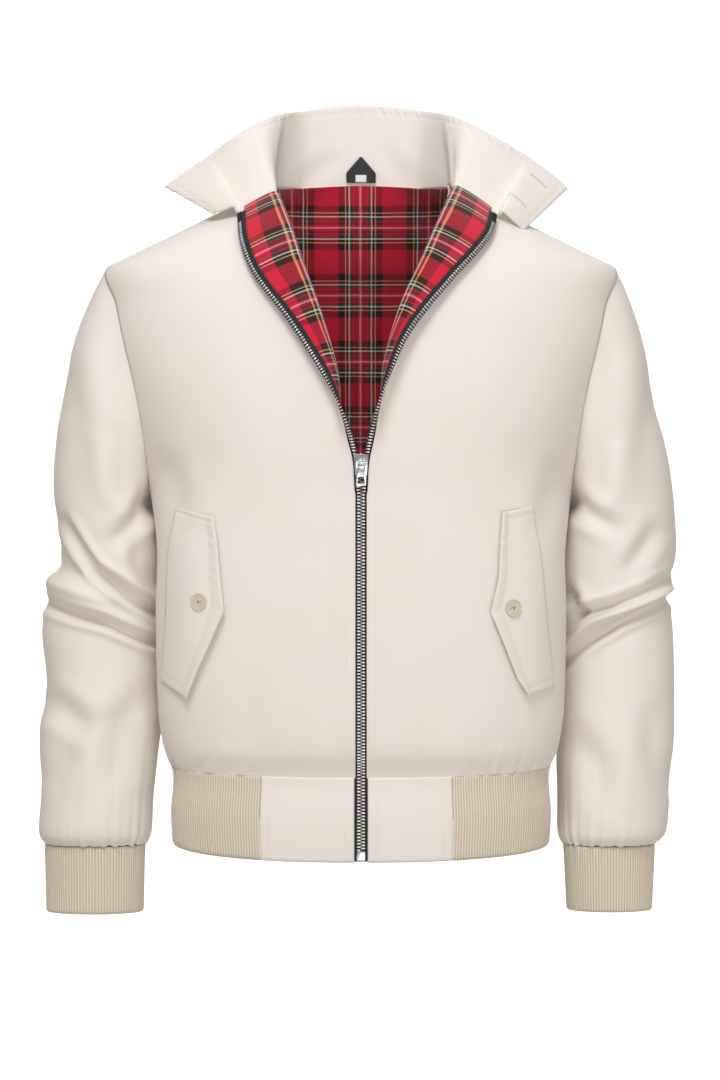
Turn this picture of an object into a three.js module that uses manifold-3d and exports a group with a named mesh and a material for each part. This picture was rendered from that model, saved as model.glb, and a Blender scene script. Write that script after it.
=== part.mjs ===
// A zip-front harrington jacket, filled out as if worn, in millimetres.
// +Z is up, the fronts face -Y, and +X is the wearer's left.
// The origin is at the height of the neck's side points, where the shoulders carry the jacket.
// Every cloth piece is a thin wall sampled from one of a few form functions below.
import * as THREE from 'three';
import Module from 'manifold-3d';
import { mergeVertices } from 'three/addons/utils/BufferGeometryUtils.js';

const wasm = await Module();
wasm.setup();

// ---- Driving sizes ----
const SHELL = 1.3; // outer cloth, one layer with its interlining
const LINING = 1.0;
const COLLAR = 2.4; // two layers
const BAND = 2.4; // waistband tabs and ribs, two layers
const FLAP = 2.0;
const GAP = 0.3; // between neighbouring pieces
const FRONT_POWER = 2.3; // superellipse of the torso's front half
const BACK_POWER = 2.1;
const SIDE_Y = 5; // the side and shoulder seams lie in this plane
const ARMPIT_Z = -300;
const SHOULDER = { x: 258.5, z: -69 }; // outer end of the shoulder seam
const NECK = { x: 88, z: 13.8 }; // inner end of the shoulder seam
const BACK_NECK_RISE = 8.8; // centre back above the neck's side points
const ARMHOLE_FRONT = 64; // depth of the armhole before and behind its middle
const ARMHOLE_BACK = 60;
const ARMHOLE_GAP = 1.2; // between body and sleeve, which meet at an angle
const NECK_COLUMN = 0.75; // share of the top row that is shoulder seam
const HEM = { side: -572, front: -579 }; // seam between body and waistband
const BOTTOM = { back: -636, front: -663 }; // lower edge of the waistband
const BAND_START = 29; // where the front edge's bend may begin, from the zip
const BEND = 12; // cloth taken up by the roll of the open front
const ZIP = { shell: 5.5, band: 6.6, lining: 10.7, tapeOut: 10.2, tapeIn: 4.6, chainOut: 4.3, chainIn: 0.3 };
const CHAIN = { top: -0.3, bottom: -3.9 }; // depth of the tooth rows, from the cloth's face
const TAPE = { top: -2.2, bottom: -2.9 };

// Torso sections: height, half width, plane of the widest point, depth before and behind it.
const TORSO = [
  { z: -668, half: 187, widest: -52, front: 78, back: 140 },
  { z: -620, half: 190, widest: -52, front: 82, back: 145 },
  { z: -580, half: 188, widest: -52, front: 80, back: 146 },
  { z: -556, half: 197, widest: -54, front: 88, back: 158 },
  { z: -520, half: 203, widest: -55, front: 92, back: 168 },
  { z: -470, half: 206, widest: -55, front: 95, back: 174 },
  { z: -410, half: 207, widest: -54, front: 96, back: 177 },
  { z: -360, half: 206, widest: -46, front: 103, back: 172 },
  { z: -325, half: 209, widest: -20, front: 129, back: 149 },
  { z: -300, half: 214, widest: 5, front: 153, back: 125 },
  { z: -264, half: 223, widest: 5, front: 153, back: 125 },
  { z: -203, half: 241, widest: 5, front: 149, back: 122 },
  { z: -150, half: 256, widest: 5, front: 139, back: 116 },
  { z: -110, half: 260, widest: 5, front: 129, back: 108 },
  { z: -69, half: 258.5, widest: 5, front: 112, back: 95 },
  { z: -37, half: 192.6, widest: 5, front: 96, back: 84 },
  { z: -6, half: 128.8, widest: 5, front: 79, back: 75 },
  { z: 25, half: 65, widest: 5, front: 70, back: 69 },
];

// The open front, from the closed zip up to the neck: the roll line, the zip's own line, how far
// the cloth has turned over in degrees, and how far the zip's line stands off the chest.
const OPENING = {
  right: [
    { rollZ: -300, rollX: 29, edgeX: 0, edgeZ: -300, turn: 0, lift: 0 },
    { rollZ: -264, rollX: 29, edgeX: 3.2, edgeZ: -264, turn: 5, lift: 0.4 },
    { rollZ: -230, rollX: 29.5, edgeX: 17, edgeZ: -230, turn: 70, lift: 18 },
    { rollZ: -199, rollX: 27.5, edgeX: 32, edgeZ: -200, turn: 130, lift: 18 },
    { rollZ: -173, rollX: 31.5, edgeX: 44.5, edgeZ: -177, turn: 155, lift: 14 },
    { rollZ: -122, rollX: 46, edgeX: 73, edgeZ: -132, turn: 175, lift: 9.5 },
    { rollZ: -71, rollX: 64, edgeX: 106, edgeZ: -87, turn: 180, lift: 7 },
    { rollZ: -37, rollX: 75, edgeX: 119.5, edgeZ: -53, turn: 180, lift: 6.5 },
    { rollZ: -6, rollX: 86, edgeX: 122.5, edgeZ: -19.5, turn: 180, lift: 6.5 },
  ],
  left: [
    { rollZ: -300, rollX: 29, edgeX: 0, edgeZ: -300, turn: 0, lift: 0 },
    { rollZ: -264, rollX: 29, edgeX: 3.2, edgeZ: -264, turn: 5, lift: 0.4 },
    { rollZ: -220, rollX: 28.5, edgeX: 17.5, edgeZ: -220, turn: 78, lift: 19 },
    { rollZ: -182, rollX: 28, edgeX: 32, edgeZ: -183, turn: 130, lift: 18 },
    { rollZ: -147, rollX: 35.5, edgeX: 46, edgeZ: -151, turn: 160, lift: 13 },
    { rollZ: -113, rollX: 46.5, edgeX: 65, edgeZ: -123, turn: 175, lift: 9.5 },
    { rollZ: -78, rollX: 62.5, edgeX: 90, edgeZ: -93, turn: 180, lift: 7 },
    { rollZ: -29, rollX: 83, edgeX: 127.5, edgeZ: -48.5, turn: 180, lift: 6.5 },
    { rollZ: 0, rollX: 95, edgeX: 136, edgeZ: -20.5, turn: 180, lift: 6.5 },
  ],
};

// Sleeve sections from the armhole to the wrist: the outer and inner points of each, the plane
// of its middle and its half depth. The first row is the armhole itself.
const SLEEVE = {
  right: [
    { outX: 258.5, outZ: -69, inX: 214, inZ: -300, y: 5, depth: 62 },
    { outX: 277, outZ: -101, inX: 213.5, inZ: -309, y: 5, depth: 65 },
    { outX: 292, outZ: -142, inX: 210, inZ: -323, y: 8, depth: 69 },
    { outX: 304, outZ: -193, inX: 206, inZ: -343, y: 11, depth: 71 },
    { outX: 311, outZ: -245, inX: 203, inZ: -370, y: 14, depth: 72 },
    { outX: 314, outZ: -300, inX: 202, inZ: -402, y: 17, depth: 72 },
    { outX: 307, outZ: -358, inX: 201, inZ: -440, y: 19, depth: 70 },
    { outX: 320, outZ: -398, inX: 200, inZ: -466, y: 17, depth: 68 },
    { outX: 326, outZ: -440, inX: 201, inZ: -492, y: 13, depth: 66 },
    { outX: 321, outZ: -492, inX: 203, inZ: -524, y: 8, depth: 64 },
    { outX: 326, outZ: -542, inX: 207, inZ: -558, y: 2, depth: 60 },
    { outX: 325, outZ: -600, inX: 211, inZ: -604, y: -6, depth: 54 },
    { outX: 327, outZ: -641, inX: 213, inZ: -641, y: -12, depth: 48 },
    { outX: 321, outZ: -655, inX: 219, inZ: -655, y: -14, depth: 39 },
  ],
  left: [
    { outX: 258.5, outZ: -69, inX: 214, inZ: -300, y: 5, depth: 62 },
    { outX: 275, outZ: -101, inX: 213.5, inZ: -309, y: 5, depth: 65 },
    { outX: 287, outZ: -142, inX: 210, inZ: -323, y: 8, depth: 69 },
    { outX: 298, outZ: -193, inX: 206, inZ: -343, y: 11, depth: 71 },
    { outX: 310, outZ: -245, inX: 203, inZ: -370, y: 14, depth: 72 },
    { outX: 319, outZ: -300, inX: 202, inZ: -402, y: 17, depth: 72 },
    { outX: 323, outZ: -355, inX: 201, inZ: -440, y: 19, depth: 70 },
    { outX: 316, outZ: -396, inX: 200, inZ: -466, y: 17, depth: 68 },
    { outX: 319, outZ: -440, inX: 200, inZ: -492, y: 13, depth: 66 },
    { outX: 320, outZ: -492, inX: 200, inZ: -524, y: 8, depth: 64 },
    { outX: 318, outZ: -542, inX: 200, inZ: -558, y: 2, depth: 60 },
    { outX: 314, outZ: -600, inX: 200, inZ: -604, y: -6, depth: 54 },
    { outX: 310, outZ: -641, inX: 200, inZ: -641, y: -12, depth: 47 },
    { outX: 299, outZ: -655, inX: 206, inZ: -655, y: -14, depth: 38 },
  ],
};

const CUFF = {
  right: { x: 270, y: -14, z: -655.4, half: 50.5, depth: 38, height: 68, endHalf: 49.5, endDepth: 35 },
  left: { x: 252, y: -14, z: -655.4, half: 46, depth: 37, height: 66, endHalf: 43.5, endDepth: 34 },
};

// Upper edge of the collar, from the centre back to its end. Each row stands over the place
// on the neck seam that it names: a share of the back neck, or a column of the front's top row.
const COLLAR_TOP = {
  right: [
    { back: 0, x: 0, y: 84, z: 108 },
    { back: 0.35, x: 35, y: 81, z: 105.5 },
    { back: 0.7, x: 68, y: 69, z: 99 },
    { front: 0.75, x: 88, y: 30, z: 90 },
    { front: 0.875, x: 89, y: 8, z: 87 },
    { front: 1, x: 88, y: -12, z: 84.5 },
    { front: 1.33, x: 84.5, y: -18, z: 83.5 },
    { front: 1.67, x: 84.5, y: -22, z: 82 },
    { front: 2, x: 90, y: -24, z: 80.5 },
    { front: 2.5, x: 122, y: -14, z: 66.5 },
    { front: 3, x: 152, y: -2, z: 48 },
  ],
  left: [
    { back: 0, x: 0, y: 84, z: 108 },
    { back: 0.35, x: 35, y: 81, z: 105.5 },
    { back: 0.7, x: 70, y: 69, z: 100 },
    { front: 0.75, x: 95, y: 30, z: 91 },
    { front: 0.875, x: 99, y: 8, z: 87 },
    { front: 1, x: 99, y: -12, z: 84 },
    { front: 1.33, x: 95.5, y: -18, z: 83 },
    { front: 1.67, x: 95.5, y: -22, z: 81 },
    { front: 2, x: 102, y: -24, z: 79 },
    { front: 2.5, x: 136, y: -14, z: 66 },
    { front: 3, x: 168, y: -2, z: 46.5 },
  ],
};

// The collar's end beyond the zip: lower and upper points, out to the corner and the tip.
const COLLAR_END = {
  right: [
    { x: 128, y: -63, z: -11, topX: 158, topY: 0, topZ: 43.5 },
    { x: 141, y: -58, z: -15, topX: 181, topY: 3, topZ: 29 },
    { x: 152, y: -50, z: -18, topX: 201, topY: 5, topZ: 14 },
  ],
  left: [
    { x: 143, y: -58, z: -15, topX: 175, topY: 0, topZ: 42 },
    { x: 156, y: -54, z: -25, topX: 195, topY: 3, topZ: 28 },
    { x: 166, y: -48, z: -34, topX: 212, topY: 5, topZ: 12.6 },
  ],
};

// Pocket flaps, top to bottom: the edge sewn down the pocket and the free edge with its point.
const FLAPS = {
  right: {
    button: { x: 156, z: -407.7 },
    rows: [
      { sewnX: 183, sewnZ: -315, freeX: 142, freeZ: -325 },
      { sewnX: 185, sewnZ: -328, freeX: 138.5, freeZ: -350 },
      { sewnX: 191, sewnZ: -360, freeX: 135.5, freeZ: -385 },
      { sewnX: 193, sewnZ: -395, freeX: 132, freeZ: -416.6 },
      { sewnX: 193.5, sewnZ: -424, freeX: 144, freeZ: -445 },
      { sewnX: 195.5, sewnZ: -455, freeX: 157, freeZ: -474 },
      { sewnX: 198, sewnZ: -487, freeX: 168.5, freeZ: -502 },
    ],
  },
  left: {
    button: { x: 146.4, z: -413.7 },
    rows: [
      { sewnX: 169, sewnZ: -314, freeX: 136.6, freeZ: -320.5 },
      { sewnX: 172, sewnZ: -338, freeX: 134.5, freeZ: -350 },
      { sewnX: 177, sewnZ: -370, freeX: 132.8, freeZ: -385 },
      { sewnX: 180, sewnZ: -400, freeX: 125, freeZ: -418 },
      { sewnX: 183.5, sewnZ: -431, freeX: 139, freeZ: -452 },
      { sewnX: 187.5, sewnZ: -462, freeX: 151, freeZ: -483 },
      { sewnX: 190, sewnZ: -492.5, freeX: 161, freeZ: -498 },
    ],
  },
};
const FLAP_LIFT = 3; // how far the free edge stands off the body
const TAB_HALF = { right: 99, left: 90 }; // front tabs of the waistband, from the zip

// ---- Small helpers ----
const signOf = (side) => (side === 'right' ? -1 : 1); // wearer's right is -X
const steps = (count, from = 0, to = 1) => Array.from({ length: count + 1 }, (_, i) => from + ((to - from) * i) / count);
const mix = (a, b, t) => a + (b - a) * t;

// Reads a column of a table at a key's value, on a smooth curve through its rows.
function read(table, key, at, column) {
  const up = table[table.length - 1][key] > table[0][key];
  let i = table.findIndex((row) => (up ? row[key] > at : row[key] < at)) - 1;
  if (i < 0) i = (up ? at >= table[table.length - 1][key] : at <= table[table.length - 1][key]) ? table.length - 2 : 0;
  const slope = (k) => {
    const low = Math.max(k - 1, 0);
    const high = Math.min(k + 1, table.length - 1);
    return (table[high][column] - table[low][column]) / (table[high][key] - table[low][key]);
  };
  const span = table[i + 1][key] - table[i][key];
  const t = Math.min(Math.max((at - table[i][key]) / span, 0), 1);
  const a = table[i][column];
  const b = table[i + 1][column];
  const rise = t * t * (3 - 2 * t);
  return mix(a, b, rise) + span * (slope(i) * t * (1 - t) ** 2 - slope(i + 1) * t * t * (1 - t));
}

// ---- The torso's form ----
const shoulderSlope = (NECK.z - SHOULDER.z) / (SHOULDER.x - NECK.x);
const halfWidth = (z) => (z > SHOULDER.z ? NECK.x + (NECK.z - z) / shoulderSlope : read(TORSO, 'z', z, 'half'));
const superside = (share, power) => (1 - Math.min(Math.abs(share), 1) ** power) ** (1 / power);

// A point of the torso at height z, theta radians round from the centre front.
function ring(z, theta) {
  const c = Math.cos(theta);
  const power = c > 0 ? FRONT_POWER : BACK_POWER;
  const depth = c > 0 ? -read(TORSO, 'z', z, 'front') : read(TORSO, 'z', z, 'back');
  const x = halfWidth(z) * Math.abs(Math.sin(theta)) ** (2 / power);
  return new THREE.Vector3(x, read(TORSO, 'z', z, 'widest') + depth * Math.abs(c) ** (2 / power), z);
}

const thetaAt = (x, z) => Math.asin(Math.min(x / halfWidth(z), 1) ** (FRONT_POWER / 2));

// A point of the chest or back at a known x and z.
function onFront(x, z) {
  const y = read(TORSO, 'z', z, 'widest') - read(TORSO, 'z', z, 'front') * superside(x / halfWidth(z), FRONT_POWER);
  return new THREE.Vector3(x, y, z);
}

function onBack(x, z) {
  const y = read(TORSO, 'z', z, 'widest') + read(TORSO, 'z', z, 'back') * superside(x / halfWidth(z), BACK_POWER);
  return new THREE.Vector3(x, y, z);
}

function sideSeamTheta(z) {
  const share = (SIDE_Y - read(TORSO, 'z', z, 'widest')) / read(TORSO, 'z', z, 'back');
  return Math.acos(-(Math.max(share, 0) ** (BACK_POWER / 2)));
}

const frontShare = (theta) => (1 + Math.cos(theta)) / 2;
const hemZ = (theta) => mix(2 * HEM.side - HEM.front, HEM.front, frontShare(theta));
const bottomZ = (theta) => mix(BOTTOM.back, BOTTOM.front, frontShare(theta));

// Height of row v: -1 is the lower edge, 0 the waistband seam and 1 the armpit.
function rowZ(v, theta) {
  return v < 0 ? mix(hemZ(theta), bottomZ(theta), -v) : mix(hemZ(theta), ARMPIT_Z, v);
}

// The armhole: 0 at the armpit, half a turn at the shoulder, the front half first.
function armhole(angle) {
  const middle = (SHOULDER.z + ARMPIT_Z) / 2;
  const z = middle - ((SHOULDER.z - ARMPIT_Z) / 2) * Math.cos(angle);
  const s = Math.sin(angle);
  const y = SIDE_Y - s * (s > 0 ? ARMHOLE_FRONT : ARMHOLE_BACK);
  const power = s > 0 ? FRONT_POWER : BACK_POWER;
  const depth = read(TORSO, 'z', z, s > 0 ? 'front' : 'back');
  return new THREE.Vector3(halfWidth(z) * superside((y - SIDE_Y) / depth, power), y, z);
}

// Blends four boundary curves of x and z into a patch.
function patch(u, w, bottom, top, side, inner) {
  const at = (key) => {
    const level = mix(bottom(u)[key], top(u)[key], w);
    const outerFix = side(w)[key] - mix(bottom(0)[key], top(0)[key], w);
    const innerFix = inner(w)[key] - mix(bottom(1)[key], top(1)[key], w);
    return level + (1 - u) * outerFix + u * innerFix;
  };
  return { x: at('x'), z: at('z') };
}

// ---- The fronts: u runs 0 side, 1 roll line, 2 end of the bend, 3 the zip's line ----
function rollAt(side, w) {
  const table = OPENING[side];
  const last = table[table.length - 1].rollZ;
  const z = mix(table[0].rollZ, last, w);
  const value = (column) => read(table, 'rollZ', z, column);
  return { x: value('rollX'), z, edgeX: value('edgeX'), edgeZ: value('edgeZ'), turn: value('turn'), lift: value('lift') };
}

function frontTop(side, u) {
  const end = rollAt(side, 1);
  if (u < NECK_COLUMN) {
    const t = u / NECK_COLUMN;
    return { x: mix(SHOULDER.x, NECK.x, t), z: mix(SHOULDER.z, NECK.z, t) };
  }
  const t = (u - NECK_COLUMN) / (1 - NECK_COLUMN);
  return { x: mix(NECK.x, end.x, t), z: mix(NECK.z, end.z, t) };
}

function closedPoint(v, u) {
  const reach = [BAND_START, BAND_START - BEND, 0];
  const guess = rowZ(v, Math.PI / 2);
  if (u >= 1) {
    const x = u < 2 ? mix(reach[0], reach[1], u - 1) : mix(reach[1], reach[2], u - 2);
    const theta = thetaAt(x, guess);
    return onFront(x, rowZ(v, theta));
  }
  const theta = mix(sideSeamTheta(guess), thetaAt(BAND_START, guess), u);
  return ring(rowZ(v, theta), theta);
}

function chestPoint(side, w, u) {
  const innerTheta = thetaAt(BAND_START, ARMPIT_Z);
  const bottom = (t) => ring(ARMPIT_Z, mix(Math.PI / 2, innerTheta, t));
  const place = patch(u, w, bottom, (t) => frontTop(side, t), (t) => armhole(Math.PI * t), (t) => rollAt(side, t));
  return onFront(place.x, place.z);
}

// Frame of the roll at height w: its point, the way to the centre and the way out of the chest.
function rollFrame(side, w) {
  const at = (t) => {
    const roll = rollAt(side, Math.min(Math.max(t, 0), 1));
    return onFront(roll.x, roll.z);
  };
  const point = at(w);
  const along = at(w + 0.02).sub(at(w - 0.02)).normalize();
  const right = onFront(point.x + 1, point.z).sub(onFront(point.x - 1, point.z));
  const up = onFront(point.x, point.z + 1).sub(onFront(point.x, point.z - 1));
  const out = new THREE.Vector3().crossVectors(right, up).normalize();
  const inward = new THREE.Vector3().crossVectors(out, along).normalize();
  if (inward.x > 0) inward.negate();
  return { point, out, inward };
}

function foldPoint(side, w, u) {
  const roll = rollAt(side, w);
  const { point, out, inward } = rollFrame(side, w);
  const turn = Math.max(THREE.MathUtils.degToRad(roll.turn), 0.01);
  const radius = BEND / turn;
  const bendAt = (angle) => point.clone()
    .addScaledVector(inward, radius * Math.sin(angle))
    .addScaledVector(out, radius * (1 - Math.cos(angle)));
  if (u < 2) return bendAt(turn * (u - 1));
  const start = bendAt(turn);
  const end = onFront(roll.edgeX, roll.edgeZ);
  end.y -= roll.lift;
  const reach = 0.4 * start.distanceTo(end);
  const pull = start.clone().addScaledVector(inward, reach * Math.cos(turn)).addScaledVector(out, reach * Math.sin(turn));
  const t = u - 2;
  return start.multiplyScalar((1 - t) ** 2).addScaledVector(pull, 2 * t * (1 - t)).addScaledVector(end, t * t);
}

function frontPoint(side, v, u) {
  let point;
  if (v <= 1) point = closedPoint(v, u);
  else if (u <= 1) point = chestPoint(side, v - 1, u);
  else point = foldPoint(side, v - 1, u);
  if (v > 1 && u <= 1) point.y = Math.min(point.y, SIDE_Y - GAP / 2);
  point.x *= signOf(side);
  return point;
}

// The column that lies a given distance from the zip's line.
function columnAt(side, v, distance) {
  const reach = frontPoint(side, v, 2).distanceTo(frontPoint(side, v, 3));
  return 3 - distance / reach;
}

// ---- The back: u runs from the wearer's right side seam at -1 to the left one at 1 ----
function backNeck(share) {
  return { x: NECK.x * share, z: NECK.z + BACK_NECK_RISE * (1 - share ** 2) };
}

function backTop(u) {
  if (u < NECK_COLUMN) {
    const t = u / NECK_COLUMN;
    return { x: mix(SHOULDER.x, NECK.x, t), z: mix(SHOULDER.z, NECK.z, t) };
  }
  return backNeck((1 - u) / (1 - NECK_COLUMN));
}

function backPoint(v, u) {
  const inward = 1 - Math.abs(u);
  let point;
  if (v <= 1) {
    const guess = rowZ(v, Math.PI / 2);
    const theta = mix(sideSeamTheta(guess), Math.PI, inward);
    point = ring(rowZ(v, theta), theta);
  } else {
    const bottom = (t) => ring(ARMPIT_Z, mix(Math.PI / 2, Math.PI, t));
    const rise = (t) => ({ x: 0, z: mix(ARMPIT_Z, NECK.z + BACK_NECK_RISE, t) });
    const place = patch(inward, v - 1, bottom, backTop, (t) => armhole(-Math.PI * t), rise);
    point = onBack(place.x, place.z);
    point.y = Math.max(point.y, SIDE_Y + GAP / 2);
  }
  point.x *= Math.sign(u) || 1;
  return point;
}

// ---- Sleeves: s runs along the table's rows, angle round from the armpit, front first ----
function sleevePoint(side, s, angle) {
  const table = SLEEVE[side].map((row, index) => ({ ...row, index }));
  const value = (column) => read(table, 'index', s, column);
  const c = (1 - Math.cos(angle)) / 2;
  const own = new THREE.Vector3(
    mix(value('inX'), value('outX'), c),
    value('y') - value('depth') * Math.sin(angle),
    mix(value('inZ'), value('outZ'), c),
  );
  const blend = Math.min(s / 2, 1);
  const seam = armhole(angle);
  seam.x += ARMHOLE_GAP;
  const point = seam.lerp(own, blend * blend * (3 - 2 * blend));
  point.x *= signOf(side);
  return point;
}

function cuffPoint(side, t, angle) {
  const cuff = CUFF[side];
  const half = mix(cuff.half, cuff.endHalf, t);
  const depth = mix(cuff.depth, cuff.endDepth, t);
  const x = signOf(side) * (cuff.x - half * Math.cos(angle));
  return new THREE.Vector3(x, cuff.y - depth * Math.sin(angle), cuff.z - cuff.height * t);
}

// ---- Walls: a grid of points and its copy moved along the normal, closed round the rim ----
function wall(outer, inner, wrap, flip) {
  const rows = outer.length;
  const columns = outer[0].length;
  const positions = [...outer.flat(), ...inner.flat()].flatMap((p) => [p.x, p.y, p.z]);
  const outerAt = (r, c) => r * columns + (c % columns);
  const innerAt = (r, c) => rows * columns + outerAt(r, c);
  const index = [];
  const quad = (a, b, c, d) => index.push(a, b, c, a, c, d);
  const spans = wrap ? columns : columns - 1;
  for (let r = 0; r < rows - 1; r += 1) {
    for (let c = 0; c < spans; c += 1) {
      quad(outerAt(r, c), outerAt(r, c + 1), outerAt(r + 1, c + 1), outerAt(r + 1, c));
      quad(innerAt(r, c), innerAt(r + 1, c), innerAt(r + 1, c + 1), innerAt(r, c + 1));
    }
    if (!wrap) {
      quad(outerAt(r, 0), outerAt(r + 1, 0), innerAt(r + 1, 0), innerAt(r, 0));
      quad(innerAt(r, spans), innerAt(r + 1, spans), outerAt(r + 1, spans), outerAt(r, spans));
    }
  }
  for (let c = 0; c < spans; c += 1) {
    quad(innerAt(0, c), innerAt(0, c + 1), outerAt(0, c + 1), outerAt(0, c));
    quad(outerAt(rows - 1, c), outerAt(rows - 1, c + 1), innerAt(rows - 1, c + 1), innerAt(rows - 1, c));
  }
  if (flip) index.reverse();
  const geometry = new THREE.BufferGeometry();
  geometry.setAttribute('position', new THREE.Float32BufferAttribute(positions, 3));
  geometry.setIndex(index);
  return geometry;
}

// Normal of a form at row r and column c, turned by sense to face out of the garment.
function normalAt(form, r, c, limits, sense) {
  const step = 0.01;
  const clampR = (value) => Math.min(Math.max(value, limits.rows[0]), limits.rows[1]);
  const clampC = (value) => Math.min(Math.max(value, limits.columns[0]), limits.columns[1]);
  const across = form(r, clampC(c + step)).sub(form(r, clampC(c - step)));
  const along = form(clampR(r + step), c).sub(form(clampR(r - step), c));
  return across.cross(along).normalize().multiplyScalar(sense);
}

// A wall of a form between two depths, which are negative inside the garment's face.
function formWall({ form, rows, columnsAt, limits, sense, top, bottom, wrap = false, normal }) {
  const grid = rows.map((r) => columnsAt(r).map((c) => {
    const point = form(r, c);
    const away = normal ? normal(r, c) : normalAt(form, r, c, limits, sense);
    return { outer: point.clone().addScaledVector(away, top), inner: point.clone().addScaledVector(away, bottom) };
  }));
  const outer = grid.map((row) => row.map((cell) => cell.outer));
  const inner = grid.map((row) => row.map((cell) => cell.inner));
  return wall(outer, inner, wrap, sense < 0);
}

// ---- Scene graph ----
const jacket = new THREE.Group();
const shellCloth = { color: 0xe9e2d6, roughness: 0.75, metalness: 0 };
const ribKnit = { color: 0xd2c6a8, roughness: 0.9, metalness: 0 };
const tartan = { color: 0xb01c34, roughness: 0.85, metalness: 0 };
const tapeBlack = { color: 0x17171a, roughness: 0.7, metalness: 0 };
const zipMetal = { color: 0xb9babd, roughness: 0.3, metalness: 1 };
const buttonResin = { color: 0xdccfb4, roughness: 0.4, metalness: 0 };
const whiteSatin = { color: 0xf0f0f0, roughness: 0.6, metalness: 0 };

function add(name, geometry, finish) {
  const mesh = new THREE.Mesh(geometry, new THREE.MeshStandardMaterial(finish));
  mesh.name = name;
  jacket.add(mesh);
  return mesh;
}

// ---- Body: fronts, back and their linings ----
const SEAM_ROW = 0.0008; // half a seam gap in rows of the body
const BAND_ROW = 0.003; // and in rows of the waistband
const TOP_ROW = 2;
const ARMHOLE_ROWS = [1, 1.06, 1.12, 1.19, 1.27, 1.36, 1.46, 1.58, 1.72, 1.87, TOP_ROW];
const bodyRows = [...steps(5, SEAM_ROW, 0.86), 0.94, ...ARMHOLE_ROWS];
const bodyLimits = { rows: [-1, TOP_ROW], columns: [-0.02, 3] };
const sideColumns = [0.003, ...steps(6, 0.125, 0.875), 1];
const bendColumns = [1.33, 1.67, 2];

// At the top row the walls stand square to the seam: along x over the shoulder, level at the neck.
function seamNormal(form, sense, limits, overShoulder) {
  return (v, u) => {
    const normal = normalAt(form, v, u, limits, sense);
    if (v > TOP_ROW - 0.001) {
      if (overShoulder(u)) normal.y = 0;
      else normal.z = 0;
    }
    return normal.normalize();
  };
}

for (const side of ['right', 'left']) {
  const form = (v, u) => frontPoint(side, v, u);
  const sense = side === 'right' ? 1 : -1;
  const normal = seamNormal(form, sense, bodyLimits, (u) => u <= NECK_COLUMN);
  const common = { form, limits: bodyLimits, sense, normal };
  const edge = (v, distance) => columnAt(side, v, distance);
  const liningColumns = (v) => {
    const end = edge(v, ZIP.lining);
    return [...sideColumns, ...bendColumns, mix(2, end, 0.5), end];
  };
  add(`front_${side}`, formWall({
    ...common,
    rows: bodyRows,
    columnsAt: (v) => [...liningColumns(v), edge(v, ZIP.shell)],
    top: 0,
    bottom: -SHELL,
  }), shellCloth);
  add(`lining_front_${side}`, formWall({
    ...common,
    rows: bodyRows,
    columnsAt: liningColumns,
    top: -SHELL - GAP,
    bottom: -SHELL - GAP - LINING,
  }), tartan);
  const zipRows = [...steps(3, -0.96, -0.02), ...bodyRows.slice(1, -1), 1.985];
  add(`zip_tape_${side}`, formWall({
    ...common,
    rows: zipRows,
    columnsAt: (v) => [edge(v, ZIP.tapeOut), edge(v, ZIP.tapeIn)],
    top: TAPE.top,
    bottom: TAPE.bottom,
  }), tapeBlack);
  const chainRows = [-0.8, ...zipRows.slice(1, -1), 1.96];
  add(`zip_chain_${side}`, formWall({
    ...common,
    rows: chainRows,
    columnsAt: (v) => [edge(v, ZIP.chainOut), edge(v, ZIP.chainIn)],
    top: CHAIN.top,
    bottom: CHAIN.bottom,
  }), zipMetal);
  add(`zip_stop_${side}`, formWall({
    ...common,
    rows: [1.963, 1.985],
    columnsAt: (v) => [edge(v, ZIP.chainOut), edge(v, ZIP.chainIn)],
    top: CHAIN.top,
    bottom: CHAIN.bottom,
  }), tapeBlack);
}

const backColumns = [-0.997, ...steps(14, -0.875, 0.875), 0.997];
const backLimits = { rows: [-1, TOP_ROW], columns: [-1.02, 1.02] };
const backNormal = seamNormal(backPoint, -1, backLimits, (u) => Math.abs(u) >= 1 - NECK_COLUMN);
add('back', formWall({
  form: backPoint,
  normal: backNormal,
  rows: bodyRows,
  columnsAt: () => backColumns,
  limits: backLimits,
  sense: -1,
  top: 0,
  bottom: -SHELL,
}), shellCloth);
add('lining_back', formWall({
  form: backPoint,
  normal: backNormal,
  rows: bodyRows,
  columnsAt: () => backColumns,
  limits: backLimits,
  sense: -1,
  top: -SHELL - GAP,
  bottom: -SHELL - GAP - LINING,
}), tartan);

// ---- Sleeves and their ribbed cuffs ----
// The armhole's columns match the rows of the body that they are sewn to.
const halfTurn = ARMHOLE_ROWS.map((v) => Math.PI * (v - 1));
const sleeveColumns = [...halfTurn, ...halfTurn.slice(1, -1).reverse().map((angle) => 2 * Math.PI - angle)];
const cuffColumns = steps(16, 0, 2 * Math.PI).slice(0, -1);
const turnLimits = { columns: [-1, 7] };

function bodyNormal(side, angle) {
  const point = armhole(angle);
  const place = Math.sin(angle) > 0 ? onFront : onBack;
  const z = Math.min(point.z, SHOULDER.z - 4);
  const across = place(point.x - 3, z).sub(place(point.x - 9, z));
  const up = place(point.x - 6, z + 3).sub(place(point.x - 6, z - 3));
  const normal = across.cross(up).normalize();
  if (normal.x < 0) normal.negate();
  normal.x *= signOf(side);
  return normal;
}

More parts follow.
